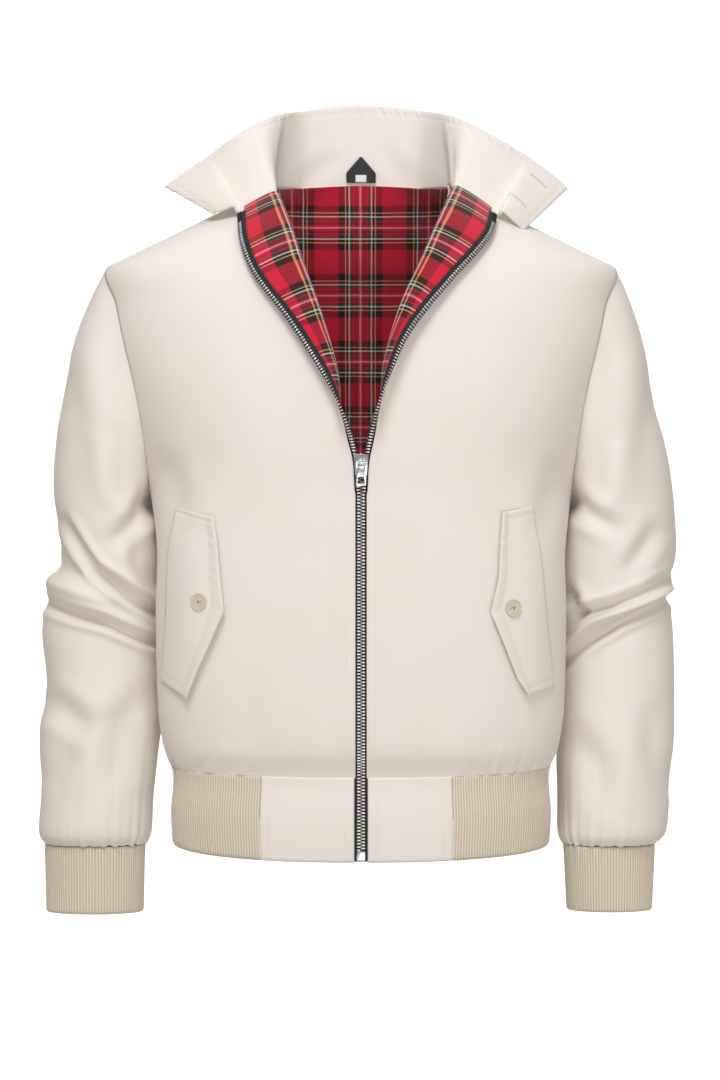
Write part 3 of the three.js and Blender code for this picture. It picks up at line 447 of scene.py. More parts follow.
def grid(name, columns, rows):
    bpy.ops.object.select_all(action="DESELECT")
    bpy.ops.mesh.primitive_grid_add(x_subdivisions=columns, y_subdivisions=rows, size=1)
    piece = bpy.context.object
    piece.name = name
    piece.data.name = name
    return piece


def crease(place, path, width, depth):
    """A soft trough with a low ridge on each side, along a path of x and z, fading at both ends."""
    here = place[..., [0, 2]]
    path = np.array(path, float)
    lengths = np.linalg.norm(np.diff(path, axis=0), axis=1)
    starts = np.concatenate([[0], np.cumsum(lengths)])
    best = np.full(len(here), 1e9)
    along = np.zeros(len(here))
    for a, b, length, start in zip(path[:-1], path[1:], lengths, starts):
        t = np.clip((here - a) @ (b - a) / length**2, 0, 1)
        distance = np.linalg.norm(here - a - t[:, None] * (b - a), axis=1)
        along = np.where(distance < best, start + t * length, along)
        best = np.minimum(distance, best)
    r = best / width
    end = np.maximum(np.sin(math.pi * along / starts[-1]), 0) ** 0.7
    return -depth * end * (np.exp(-r * r) - 0.4 * np.exp(-((r - 1.9) ** 2) / 0.8))


def puckers(along, away, pitch, depth, reach):
    """Small uneven gathers along a seam: along it and away from it, in millimetres."""
    wave = np.sin(2 * math.pi * along / pitch) + 0.7 * np.sin(2 * math.pi * along / (1.63 * pitch) + 1.2)
    strength = 0.55 + 0.45 * np.sin(along / (3.1 * pitch) + 0.6)
    return depth * wave * strength * np.exp(-np.maximum(away, 0) / reach)


class Number:
    """A number in a finish, so that shader maths reads as arithmetic."""

    def __init__(self, finish, socket):
        self.finish = finish
        self.socket = socket

    def maths(self, operation, *others):
        values = dict(enumerate((self, *others)))
        sum_node = self.finish.node("ShaderNodeMath", {"operation": operation}, values)
        return Number(self.finish, sum_node.outputs[0])

    def __add__(self, other):
        return self.maths("ADD", other)

    __radd__ = __add__

    def __mul__(self, other):
        return self.maths("MULTIPLY", other)

    __rmul__ = __mul__

    def __sub__(self, other):
        return self.maths("SUBTRACT", other)

    def __rsub__(self, other):
        return (self * -1) + other


class Finish:
    """A material on the Principled shader, with its constants set on the shader's own sockets."""

    def __init__(self, name, constants):
        self.material = bpy.data.materials.new(name)
        self.material.use_nodes = True
        self.tree = self.material.node_tree
        self.shader = self.tree.nodes["Principled BSDF"]
        for socket, value in constants.items():
            self.shader.inputs[socket].default_value = value

    def node(self, kind, settings, values):
        node = self.tree.nodes.new(kind)
        for setting, value in settings.items():
            setattr(node, setting, value)
        for socket, value in values.items():
            value = value.socket if isinstance(value, Number) else value
            if isinstance(value, bpy.types.NodeSocket):
                self.tree.links.new(value, node.inputs[socket])
            else:
                node.inputs[socket].default_value = value
        return node

    def cloth_place(self):
        """The place along and across the cut cloth, in metres."""
        place = self.node("ShaderNodeTexCoord", {}, {}).outputs["UV"]
        parts = self.node("ShaderNodeSeparateXYZ", {}, {0: place})
        return place, Number(self, parts.outputs["X"]), Number(self, parts.outputs["Y"])

    def noise(self, scale, detail, place=None):
        """Soft noise round 0.5, with scale features to the metre."""
        place = place or self.node("ShaderNodeTexCoord", {}, {}).outputs["Object"]
        values = {"Vector": place, "Scale": scale, "Detail": detail}
        return Number(self, self.node("ShaderNodeTexNoise", {}, values).outputs[0])

    def blend(self, low, high, share):
        settings = {"data_type": "RGBA"}
        return self.node("ShaderNodeMix", settings, {0: share, 6: low, 7: high}).outputs[2]

    def show(self, socket, value):
        value = value.socket if isinstance(value, Number) else value
        self.tree.links.new(value, self.shader.inputs[socket])

    def bump(self, height, distance, strength):
        values = {"Height": height, "Distance": distance, "Strength": strength}
        self.show("Normal", self.node("ShaderNodeBump", {}, values).outputs[0])

    def give(self, *pieces):
        for piece in pieces:
            piece.data.materials.clear()
            piece.data.materials.append(self.material)


def colour(red, green, blue):
    """A colour from its display values, 0 to 255."""
    return tuple((value / 255) ** 2.2 for value in (red, green, blue)) + (1,)


TWILL_PITCH = 0.00085  # one diagonal rib of the weave, in metres
twill = Finish("twill", {"Sheen Weight": 0.12, "Sheen Roughness": 0.5, "Specular IOR Level": 0.25})
cloth_uv, weft, warp = twill.cloth_place()
diagonal = ((weft + warp) * (2 * math.pi / TWILL_PITCH)).maths("SINE") * 0.5 + 0.5
slub = twill.noise(900, 3, cloth_uv)
cloud = twill.noise(9, 3)
tone = twill.blend(colour(231, 223, 216), colour(237, 231, 226), cloud)
thread = twill.blend(colour(212, 201, 190), tone, (diagonal * 0.35 + slub * 0.5 + 0.3).maths("MINIMUM", 1))
twill.show("Base Color", thread)
twill.show("Roughness", 0.74 + slub * 0.16)
twill.bump(diagonal * 0.6 + slub * 0.8, 0.00016, 0.45)

FRONT_CREASES = [
    ([(-206, -255), (-186, -292), (-176, -345)], 13, 2.4),
    ([(-204, -315), (-196, -420), (-199, -520)], 17, 2.2),
    ([(-120, -565), (-108, -520), (-103, -470)], 16, 1.6),
    ([(-60, -95), (-78, -170), (-80, -260)], 26, 1.8),
    ([(206, -262), (190, -300), (178, -348)], 13, 2.6),
    ([(203, -330), (197, -430), (199, -515)], 16, 2.2),
    ([(96, -566), (84, -515), (86, -455)], 17, 1.7),
    ([(70, -110), (88, -180), (92, -265)], 27, 1.7),
    ([(34, -560), (30, -470), (32, -330)], 9, 0.9),
    ([(-34, -562), (-31, -480), (-33, -350)], 9, 0.9),
]
BACK_CREASES = [
    ([(-190, -250), (-150, -300), (-128, -370)], 17, 3.2),
    ([(188, -245), (152, -305), (136, -372)], 17, 3.0),
    ([(-150, -560), (-138, -500), (-120, -430)], 18, 2.6),
    ([(140, -560), (128, -492), (116, -432)], 18, 2.6),
    ([(-20, -560), (-12, -500), (-18, -450)], 17, 1.8),
    ([(-120, -40), (-60, -62), (0, -58), (64, -64), (118, -42)], 15, 1.8),
]
SEAM_DIP = 0.5


def body_row(up):
    return 2 - (2 - BODY_START) * (1 - up) ** TOP_EASE


def body_share(v):
    return 1 - ((2 - v) / (2 - BODY_START)) ** (1 / TOP_EASE)



def edge_dip(*distances):
    """The cloth rolls in over its last few millimetres at a seam."""
    return -SEAM_DIP * sum(np.exp(-((np.maximum(distance, 0) / 2.4) ** 2)) for distance in distances)


def body_folds(place, v):
    """Folds of the body, the same for the outer cloth and the lining under it."""
    front = place[..., 1] < SIDE_Y
    x = place[..., 0]
    fade_out = fade(SHOULDER[0] - np.abs(x), 4, 30) * fade(np.abs(place[..., 1] - SIDE_Y), 4, 40)
    depth = np.zeros(len(place))
    for lines, here in ((FRONT_CREASES, front), (BACK_CREASES, ~front)):
        for path, width, deep in lines:
            depth = depth + np.where(here, crease(place, path, width, deep), 0)
    hem_gap = v * (ARMPIT_Z - HEM_SIDE)
    gathers = puckers(x + 0.8 * place[..., 1], hem_gap, 12, 1.3, 13) * fade(np.abs(x), 70, 130)
    return depth * fade_out * fade(hem_gap, 0, 60) + gathers * (v > 0)


def front_folds(side):
    def folds(place, up, across):
        v = body_row(up)
        hem = v * (ARMPIT_Z - HEM_SIDE)
        seam = np.abs(place[..., 1] - SIDE_Y)
        hole = unit_distance(place, armhole(math.pi * np.linspace(0, 1, 60)), side)
        lapel = fade(v, 1.16, 1.5) * (across > 0.45)
        dips = edge_dip(hem, np.where(v < 1.02, seam, 99)) + 0.3 * edge_dip(hole)
        return body_folds(place, v) * (1 - lapel) + dips
    return folds


def unit_distance(place, line, side):
    """Distance from each place to the nearest point of a line, mirrored for the wearer's right."""
    line = line * np.array([-1 if side == "right" else 1, 1, 1])
    return np.min(np.linalg.norm(place[:, None, :] - line[None], axis=2), axis=1)


BODY_START = -0.012  # the body's cloth goes a little way down behind the waistband
TOP_EASE = 1.35  # rows lie closer together towards the shoulder
FRONT_SIZE = (108, 200)


def eased(form, v, u, share):
    """Evens the form out above and below the armpit's row, where the chest meets the waist."""
    spread = 0.13 * (1 - fade(np.abs(v - 1), 0.12, 0.34)) * share
    return sum(form(v + step * spread, u) for step in (-1, -0.5, 0, 0.5, 1)) / 5


def front_grid(side, edge):
    """A front's grid: an even share of the columns for the panel, and close ones over the roll."""
    def form(up, across):
        v = body_row(up)
        end = column_at(side, v, edge)
        u = np.where(across < 0.7, 0.004 + (1 - 0.004) * across / 0.7, 1 + (end - 1) * (across - 0.7) / 0.3)
        ease = fade(u, 0, 0.25) - fade(u, 0.75, 1)
        return eased(lambda row, column: front_point(side, row, column), v, u, ease)
    return form


def front_uv(side):
    """The front's cloth lies flat from the zip's line, so its grain follows the edge."""
    def uv(place, up, across):
        v = body_row(up)
        line = front_point(side, np.linspace(0, 2, 80), np.full(80, 3.0))
        run = np.concatenate([[0], np.cumsum(np.linalg.norm(np.diff(line, axis=0), axis=1))])
        length = np.interp(v, np.linspace(0, 2, 80), run)
        straight = place[..., 2] - HEM_FRONT
        share = fade(across, 0.45, 0.75)
        reach = np.abs(place[..., 0]) - 29
        past = (across - 0.7) / 0.3 * 29
        flat = np.where(across < 0.7, np.maximum(reach, 0), -past)
        return np.stack([flat, mix(straight, length, share)], axis=1)
    return uv


def torso_middle(place):
    return np.stack([place[:, 0] * 0.4, np.full(len(place), -10.0), place[:, 2]], axis=1)


front_faces = {}
for side in ("right", "left"):
    piece = grid("front_cloth_" + side, *FRONT_SIZE)
    form = front_grid(side, EDGE["shell"])
    front_faces[side] = hang(piece, form, front_uv(side), SHELL, torso_middle, front_folds(side))
    twill.give(piece)
    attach(piece, "jacket")
    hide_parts("front_" + side)

# ---- Back: the outer cloth of the back ----
# One piece of the same twill from side seam to side seam, eased over the shoulder blades and
# gathered a little into the waistband.


def back_top(u):
    share = np.clip((1 - u) / (1 - NECK_COLUMN), 0, 1)
    neck = points(NECK[0] * share, 0, NECK[1] + BACK_NECK_RISE * (1 - share**2))
    return np.where(u[..., None] < NECK_COLUMN, shoulder_line(u), neck)


def back_point(v, u):
    """The back's form: u runs from the wearer's right side seam at -1 to the left one at 1."""
    v, u = np.broadcast_arrays(np.asarray(v, float), np.asarray(u, float))
    inward = 1 - np.abs(u)
    low = np.minimum(v, 1)
    guess = row_z(low, math.pi / 2)
    theta = mix(side_seam_theta(guess), math.pi, inward)
    below = ring(row_z(low, theta), theta)

    def bottom(t):
        return ring(ARMPIT_Z, mix(math.pi / 2, math.pi, t))

    def rise(t):
        return points(0, 0, mix(ARMPIT_Z, NECK[1] + BACK_NECK_RISE, t))

    place = patch(inward, np.maximum(v - 1, 0), bottom, back_top, lambda t: armhole(-math.pi * t), rise)
    above = on_back(place[..., 0], place[..., 2])
    above[..., 1] = np.maximum(above[..., 1], SIDE_Y + GAP / 2)
    point = np.where(v[..., None] <= 1, below, above)
    point[..., 0] *= np.where(u < 0, -1, 1)
    return point


def back_grid(up, across):
    u = mix(-0.997, 0.997, across)
    return eased(back_point, body_row(up), u, fade(1 - np.abs(u), 0, 0.2))


def back_uv(place, up, across):
    return np.stack([place[:, 0], place[:, 2] - HEM_SIDE], axis=1)


def back_folds(place, up, across):
    v = body_row(up)
    hole = armhole(-math.pi * np.linspace(0, 1, 60))
    gap = np.minimum(unit_distance(place, hole, "left"), unit_distance(place, hole, "right"))
    seam = np.where(v < 1.02, np.abs(place[..., 1] - SIDE_Y), 99)
    return body_folds(place, v) + edge_dip(v * (ARMPIT_Z - HEM_SIDE), seam) + 0.3 * edge_dip(gap)


back = grid("back_cloth", 150, 160)
hang(back, back_grid, back_uv, SHELL, torso_middle, back_folds)
twill.give(back)
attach(back, "jacket")
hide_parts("back")

# ---- Linings: tartan cotton inside the back and the fronts ----
# Soft brushed cotton in a red tartan, cut like the outer cloth and sewn to it at the collar,
# the zip and the waistband. The front linings show where the corners roll open.
LINING = 1.0
SETT_ACROSS = 0.0715  # one repeat of the tartan across the cloth and along it, in metres
SETT_ALONG = 0.069
# Stripes from the middle of a group of lines to the middle of the open ground.
STRIPES = [
    (0.0, colour(228, 180, 190)),
    (0.025, colour(200, 20, 50)),
    (0.10, colour(84, 26, 42)),
    (0.15, colour(200, 22, 50)),
    (0.205, colour(26, 62, 52)),
    (0.305, colour(238, 236, 238)),
    (0.345, colour(22, 22, 28)),
    (0.42, colour(216, 180, 118)),
    (0.455, colour(20, 18, 24)),
    (0.645, colour(208, 22, 54)),
]


def tartan(name, deep):
    """The tartan; deep is how far it is toned down, as where it lies in the jacket's shade."""
    finish = Finish(name, {"Sheen Weight": 0.25, "Sheen Roughness": 0.6, "Specular IOR Level": 0.15})
    place, x, z = finish.cloth_place()
    wobble = finish.noise(35, 2, place) * 0.0011

    def stripes(at, sett):
        share = ((at + wobble) * (1 / sett) + 0.5).maths("FRACT") - 0.5
        ramp = finish.node("ShaderNodeValToRGB", {}, {0: share.maths("ABSOLUTE") * 2})
        ramp.color_ramp.interpolation = "CONSTANT"
        while len(ramp.color_ramp.elements) < len(STRIPES):
            ramp.color_ramp.elements.new(0.5)
        for element, (start, shade) in zip(ramp.color_ramp.elements, STRIPES):
            element.position = start
            element.color = shade
        return ramp.outputs[0]

    lines = ((x + z) * (2 * math.pi / 0.0016)).maths("SINE") * 0.5 + 0.5
    fluff = finish.noise(700, 3, place)
    woven = finish.blend(stripes(x, SETT_ACROSS), stripes(z, SETT_ALONG), lines * 0.4 + fluff * 0.2 + 0.2)
    toned = finish.blend(woven, colour(96, 8, 24), finish.noise(14, 2) * 0.12 + deep)
    finish.show("Base Color", toned)
    finish.show("Roughness", 0.8 + fluff * 0.15)
    finish.bump(lines * 0.5 + fluff, 0.0002, 0.5)
    return finish


back_tartan = tartan("tartan_back", 0.06)
front_tartan = tartan("tartan_front", 0.1)


def under(form, centre, depth):
    """A lining's form: the outer cloth's, moved in by a depth."""
    def moved(up, across):
        step = 0.004
        a = form(np.clip(up - step, 0, 1), across)
        b = form(np.clip(up + step, 0, 1), across)
        c = form(up, np.clip(across - step, 0, 1))
        d = form(up, np.clip(across + step, 0, 1))
        place = form(up, across)
        normal = unit(np.cross(d - c, b - a))
        if np.mean(np.sum(normal * (place - centre(place)), axis=1)) < 0:
            normal = -normal
        return place - normal * depth
    return moved


def drawn_in(form, first, last):
    """The same form with its sides drawn in, so a lining stays behind the armhole seams."""
    def narrower(up, across):
        return form(up, mix(first, last, across))
    return narrower


def finish_lining(piece, material, node):
    material.give(piece)
    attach(piece, "jacket")
    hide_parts(node)


lining_back = grid("back_lining", 100, 120)
form = under(drawn_in(back_grid, 0.009, 0.991), torso_middle, SHELL + GAP)
hang(lining_back, form, back_uv, LINING, torso_middle, back_folds)
finish_lining(lining_back, back_tartan, "lining_back")
lining_faces = {}
for side in ("right", "left"):
    piece = grid("front_lining_" + side, 84, 160)
    form = under(drawn_in(front_grid(side, EDGE["lining"]), 0.014, 1), torso_middle, SHELL + GAP)
    lining_faces[side] = hang(piece, form, front_uv(side), LINING, torso_middle, front_folds(side))
    rests = ["front_cloth_" + side]
    finish_lining(piece, front_tartan, "lining_front_" + side)

# ---- Sleeves: two full-length set-in sleeves ----
# The same twill, each one piece, sewn into the armhole and gathered into a ribbed cuff. The
# spare length lies in folds at the elbow.
SLEEVE = {
    "right": table(
        "outX outZ inX inZ y depth",
        (258.5, -69, 214, -300, 5, 62),
        (277, -101, 213.5, -309, 5, 65),
        (292, -142, 210, -323, 8, 69),
        (304, -193, 206, -343, 11, 71),
        (311, -245, 203, -370, 14, 72),
        (314, -300, 202, -402, 17, 72),
        (307, -358, 201, -440, 19, 70),
        (320, -398, 200, -466, 17, 68),
        (326, -440, 201, -492, 13, 66),
        (321, -492, 203, -524, 8, 64),
        (326, -542, 207, -558, 2, 60),
        (325, -600, 211, -604, -6, 54),
        (327, -641, 213, -641, -12, 48),
        (321, -655, 219, -655, -14, 39),
    ),
    "left": table(
        "outX outZ inX inZ y depth",
        (258.5, -69, 214, -300, 5, 62),
        (275, -101, 213.5, -309, 5, 65),
        (287, -142, 210, -323, 8, 69),
        (298, -193, 206, -343, 11, 71),
        (310, -245, 203, -370, 14, 72),
        (319, -300, 202, -402, 17, 72),
        (323, -355, 201, -440, 19, 70),
        (316, -396, 200, -466, 17, 68),
        (319, -440, 200, -492, 13, 66),
        (320, -492, 200, -524, 8, 64),
        (318, -542, 200, -558, 2, 60),
        (314, -600, 200, -604, -6, 54),
        (310, -641, 200, -641, -12, 47),
        (299, -655, 206, -655, -14, 38),
    ),
}
ARMHOLE_GAP = -0.6  # the sleeve goes a little way in under the body's edge
SLEEVE_ROWS = (0.0, 12.995)
SLEEVE_CREASES = {
    "right": [
        ([(-304, -322), (-288, -346), (-268, -376), (-238, -398), (-196, -430)], 5.4, 10.5),
        ([(-330, -386), (-304, -394), (-276, -403), (-246, -414)], 10, -8),
        ([(-330, -410), (-292, -421), (-255, -430), (-196, -458)], 4.8, 9.5),
        ([(-322, -508), (-298, -518), (-264, -542)], 12, 4.5),
        ([(-206, -292), (-222, -322), (-254, -356)], 8, 5.5),
        ([(-204, -400), (-222, -372), (-232, -340)], 8, 4.0),
        ([(-302, -160), (-284, -230), (-288, -310)], 18, 3.6),
        ([(-208, -330), (-236, -290), (-246, -230)], 12, 4.0),
        ([(-210, -490), (-238, -530), (-246, -600)], 14, 4.0),
        ([(-316, -600), (-298, -566), (-292, -520)], 13, 3.4),
        ([(-236, -130), (-254, -190), (-250, -250)], 14, 2.6),
    ],
    "left": [
        ([(196, -428), (226, -419), (252, -413), (282, -401), (322, -380)], 5.2, 10),
        ([(196, -480), (220, -455), (236, -443), (262, -427), (290, -415), (326, -402)], 5.2, 10),
        ([(203, -392), (213, -408), (218, -432)], 7, 6.0),
        ([(210, -448), (244, -429), (284, -408), (320, -393)], 9, -5.5),
        ([(204, -296), (224, -318), (262, -340)], 8, 5.5),
        ([(300, -330), (284, -356), (262, -384)], 9, 4.0),
        ([(302, -170), (288, -240), (292, -320)], 18, 3.6),
        ([(206, -330), (234, -290), (245, -230)], 12, 4.0),
        ([(206, -530), (236, -575), (244, -625)], 14, 4.2),
        ([(314, -610), (294, -560), (290, -510)], 13, 3.6),
        ([(238, -130), (256, -195), (250, -255)], 14, 2.6),
    ],
}
SLEEVE_BACK_CREASES = [
    ([(322, -368), (286, -388), (250, -410), (200, -438)], 7, 8.5),
    ([(324, -398), (286, -412), (250, -436), (198, -470)], 7, 8.5),
    ([(320, -384), (280, -402), (246, -424)], 10, -5),
    ([(210, -318), (240, -330), (280, -322)], 9, 5.0),
    ([(292, -200), (282, -260), (286, -330)], 18, 3.6),
    ([(222, -500), (250, -545), (256, -610)], 14, 4.2),
]


def sleeve_point(side, s, angle):
    """A sleeve's form: s runs down the table's rows, angle round from the armpit, front first."""
    rows = dict(SLEEVE[side], index=np.arange(len(SLEEVE[side]["y"]), dtype=float))
    value = {name: read(rows, "index", s, name) for name in rows}
    c = (1 - np.cos(angle)) / 2
    own = points(
        mix(value["inX"], value["outX"], c),
        value["y"] - value["depth"] * np.sin(angle),
        mix(value["inZ"], value["outZ"], c),
    )
    blend = fade(s, 0, 2)[..., None]
    seam = armhole(angle)
    seam[..., 0] += ARMHOLE_GAP
    point = mix(seam, own, blend)
    if side == "right":
        point[..., 0] *= -1
    return point


def sleeve_grid(side):
    def form(up, across):
        return sleeve_point(side, mix(SLEEVE_ROWS[1], SLEEVE_ROWS[0], up), 2 * math.pi * (across % 1))
    return form


def sleeve_middle(place):
    x = np.sign(np.mean(place[:, 0])) * 262
    return np.stack([np.full(len(place), x), np.full(len(place), 3.0), place[:, 2]], axis=1)


def sleeve_uv(place, up, across):
    return np.stack([across * 430, up * 600], axis=1)


def sleeve_folds(side):
    def folds(place, up, across):
        s = mix(SLEEVE_ROWS[1], SLEEVE_ROWS[0], up)
        angle = 2 * math.pi * (across % 1)
        front = fade(np.sin(angle), -0.25, 0.25)
        mirrored = place * np.array([-1 if side == "right" else 1, 1, 1])
        depth = np.zeros(len(place))
        for path, width, deep in SLEEVE_CREASES[side]:
            depth = depth + crease(place, path, width, deep) * front
        for path, width, deep in SLEEVE_BACK_CREASES:
            depth = depth + crease(mirrored, path, width, deep) * (1 - front)
        around = 2 * math.pi * 52 * (across % 1)
        from_cuff = 14 * (SLEEVE_ROWS[1] - s)
        gathers = puckers(around, from_cuff, 11, 1.5, 15)
        ease = puckers(around + 20, 15 * s, 16, 0.5, 14) * fade(s, 0.15, 0.4)
        dips = edge_dip(17 * (s - SLEEVE_ROWS[0]), from_cuff)
        return 1.2 * depth * fade(s, 0.2, 1.4) * fade(from_cuff, 0, 22) + gathers + ease + dips
    return folds


for side in ("right", "left"):
    piece = grid("sleeve_cloth_" + side, 132, 190)
    hang(piece, sleeve_grid(side), sleeve_uv, SHELL, sleeve_middle, sleeve_folds(side), closed=True)
    twill.give(piece)
    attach(piece, "jacket")
    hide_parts("sleeve_" + side)
    rests = ["front_cloth_" + side, "back_cloth"]

# ---- Cuffs and waistband rib: knitted rib that draws in the sleeves and the body ----
# Beige cotton rib, doubled over. Its fine ribs run up and down; each piece is knitted in the
# round or cut in one strip and sewn stretched to the cloth above, so it puckers at the seam.
RIB_PITCH = 2.8
RIB_DEPTH = 0.42
BAND = 2.4
CUFF = {
    "right": {
        "x": 270, "y": -14, "z": -655.4, "half": 50.5, "depth": 38, "tall": 68, "low": 49.5, "low_depth": 35,
    },
    "left": {
        "x": 252, "y": -14, "z": -655.4, "half": 46, "depth": 37, "tall": 66, "low": 43.5, "low_depth": 34,
    },
}
rib = Finish("rib_knit", {"Sheen Weight": 0.3, "Sheen Roughness": 0.6, "Specular IOR Level": 0.15})
rib_uv, rib_x, rib_z = rib.cloth_place()
valley = (rib_x * (2 * math.pi / (RIB_PITCH * MM))).maths("COSINE") * 0.5 + 0.5
purl = (rib_z * (2 * math.pi / 0.0021)).maths("SINE") * 0.5 + 0.5
fuzz = rib.noise(650, 3, rib_uv)
crown = rib.blend(colour(219, 206, 188), colour(228, 217, 201), rib.noise(12, 2))
# The base colour is painted darker in the valleys between the ribs and a little in the stitch rows: painted
# shade. The fuzz and the crown colour vary at random.
shade = (1 - valley) * (0.7 + purl * 0.3) + fuzz * 0.25
rib.show("Base Color", rib.blend(colour(184, 168, 146), crown, shade.maths("MINIMUM", 1)))
rib.show("Roughness", 0.8 + fuzz * 0.18)
rib.bump(fuzz + purl * 0.7, 0.00025, 0.5)


def rib_wave(run):
    return -RIB_DEPTH * (0.5 + 0.5 * np.cos(2 * math.pi * run / RIB_PITCH))


def rounded_edge(distance):
    """The doubled rib turns over in a soft round at its free edge."""
    return -0.9 * np.exp(-((np.maximum(distance, 0) / 1.6) ** 2))


def make_rib(name, columns, rows, form, uv, centre, folds, closed, node):
    piece = grid(name, columns, rows)
    hang(piece, form, uv, BAND, centre, folds, closed)
    rib.give(piece)
    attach(piece, "jacket")
    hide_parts(node)
    return piece


for side in ("right", "left"):
    cuff = CUFF[side]
    around = 2 * math.pi * math.sqrt((cuff["half"] ** 2 + cuff["depth"] ** 2) / 2)
    ribs = round(around / RIB_PITCH)

    def cuff_form(up, across, cuff=cuff, side=side):
        angle = 2 * math.pi * (across % 1)
        low = 1 - up
        half = mix(cuff["half"], cuff["low"], low)
        depth = mix(cuff["depth"], cuff["low_depth"], low)
        x = cuff["x"] - half * np.cos(angle)
        y = cuff["y"] - depth * np.sin(angle)
        return points(-x if side == "right" else x, y, cuff["z"] - cuff["tall"] * low)

    def cuff_uv(place, up, across, run=ribs * RIB_PITCH, tall=cuff["tall"]):
        return np.stack([across * run, up * tall], axis=1)

    def cuff_folds(place, up, across, run=ribs * RIB_PITCH, tall=cuff["tall"]):
        along = (across % 1) * run
        top = (1 - up) * tall
        lean = 0.7 * np.sin(2 * math.pi * across * 2 + 1) * up
        gathers = puckers(along, top, 9, 0.6, 8)
        return rib_wave(along) + gathers + lean + rounded_edge(up * tall) + edge_dip(top)

    rests = ["sleeve_cloth_" + side]
    make_rib(
        "cuff_rib_" + side, ribs * 6, 26, cuff_form, cuff_uv, sleeve_middle, cuff_folds, True,
        "cuff_" + side
    )

TAB_HALF = {"right": 99, "left": 90}
BAND_FACE = 0.6  # how far the band stands out from the body's form
band_middle_z = (HEM_FRONT + BOTTOM_FRONT) / 2
rib_start = theta_at(TAB_HALF["left"], band_middle_z) + 0.002
rib_end = 2 * math.pi - theta_at(TAB_HALF["right"], band_middle_z) - 0.002


def band_place(v, around):
    theta = np.where(around <= math.pi, around, 2 * math.pi - around)
    point = ring(row_z(v, theta), theta)
    point[..., 0] *= np.where(around > math.pi, -1, 1)
    middle = points(0, -50, point[..., 2])
    away = unit((point - middle) * np.array([1, 1.6, 0]))
    return point + away * BAND_FACE


def evenly(form, start, end, v=-0.5):
    """Turns an even share of the way round into the angle that it lies at."""
    angles = np.linspace(start, end, 900)
    path = form(np.full(900, v), angles)
    run = np.concatenate([[0], np.cumsum(np.linalg.norm(np.diff(path, axis=0), axis=1))])
    return run[-1], lambda share: np.interp(share * run[-1], run, angles)


rib_run, rib_angle = evenly(band_place, rib_start, rib_end)
band_ribs = round(rib_run / RIB_PITCH)
BAND_TALL = 78


def band_form(up, across):
    return band_place(mix(-1, -0.003, up), rib_angle(across))


def band_uv(place, up, across):
    return np.stack([across * band_ribs * RIB_PITCH, up * BAND_TALL], axis=1)


def band_folds(place, up, across):
    along = across * band_ribs * RIB_PITCH
    top = (1 - up) * BAND_TALL
    gathers = puckers(along, top, 11, 0.6, 9)
    ends = edge_dip(along, rib_run - along)
    return rib_wave(along) + gathers + rounded_edge(up * BAND_TALL) + edge_dip(top) + ends


def band_centre(place):
    return np.stack([place[:, 0] * 0.3, np.full(len(place), 0.0), place[:, 2]], axis=1)


rests = ["front_cloth_right", "front_cloth_left", "back_cloth"]
make_rib(
    "waist_rib", band_ribs * 5, 22, band_form, band_uv, band_centre, band_folds, False,
    "waistband_rib"
)

# ---- Waistband tabs: the waistband's two flat ends beside the zip ----
# Doubled twill, cut square, stitched to the rib at one end and to the zip's tape at the other.


def tab_form(side):
    sign = -1 if side == "right" else 1
    start, end = theta_at(6.6, band_middle_z), theta_at(TAB_HALF[side], band_middle_z)

    def form(up, across):
        theta = mix(start, end, across)
        around = theta if sign > 0 else 2 * math.pi - theta
        return band_place(mix(-1, -0.003, up), around)
    return form


def tab_uv(side):
    def uv(place, up, across):
        return np.stack([across * (TAB_HALF[side] - 6.6), up * BAND_TALL], axis=1)
    return uv


def tab_folds(side):
    width = TAB_HALF[side] - 6.6

    def folds(place, up, across):
        along = across * width
        rest = width - along
        sewn = np.exp(-(((rest - 9.5) / 1.6) ** 2)) + np.exp(-(((along - 7) / 1.6) ** 2))
        soft = 0.5 * np.sin(along / 13 + 2 * up) * up
        edges = rounded_edge(up * BAND_TALL) + rounded_edge((1 - up) * BAND_TALL) * 0.7
        return soft - 0.35 * sewn + edges + edge_dip(rest) * 0.8 + edge_dip(along) * 0.6
    return folds


tab_faces = {}
for side in ("right", "left"):
    piece = grid("waist_tab_" + side, 46, 40)
    tab_faces[side] = hang(piece, tab_form(side), tab_uv(side), BAND, band_centre, tab_folds(side))
    twill.give(piece)
    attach(piece, "jacket")
    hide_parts("waistband_tab_" + side)
    "front_cloth_" + side

# ---- Collar: a stand-up collar turned out at its two front corners ----
# Two layers of twill over a firm interlining, stitched round its edge and sewn to the neck. Its
# ends carry on as short tabs: buttonholes on the wearer's left, two small buttons on the right.
COLLAR_END = {
    "right": table(
        "x y z topX topY topZ",
        (128, -63, -11, 158, 0, 43.5),
        (141, -58, -15, 181, 3, 29),
        (152, -50, -18, 201, 5, 14),
    ),
    "left": table(
        "x y z topX topY topZ",
        (143, -58, -15, 175, 0, 42),
        (156, -54, -25, 195, 3, 28),
        (166, -48, -34, 212, 5, 12.6),
    ),
}
COLLAR_TOP = {
    "right": table(
        "place x y z",
        (0, 0, 84, 108),
        (0.35, 33, 80, 105.5),
        (0.7, 60, 68, 100),
        (1.75, 76, 42, 94.6),
        (1.875, 82, 28, 91.8),
        (2, 88, 15, 88.6),
        (2.33, 95, 4, 84.4),
        (2.67, 102, -4, 80),
        (3, 111, -10, 74.6),
        (3.5, 129, -11, 63.2),
        (4, 152, -2, 48),
    ),
    "left": table(
        "place x y z",
        (0, 0, 84, 108),
        (0.35, 34, 80, 105.5),
        (0.7, 62, 68, 100.3),
        (1.75, 81, 42, 94.2),
        (1.875, 88, 28, 90.8),
        (2, 95, 15, 87),
        (2.33, 102.5, 4, 82.6),
        (2.67, 110, -4, 78.2),
        (3, 120, -10, 72.6),
        (3.5, 140, -11, 61.5),
        (4, 168, -2, 46.5),
    ),
}
COLLAR_RISE = 2.1
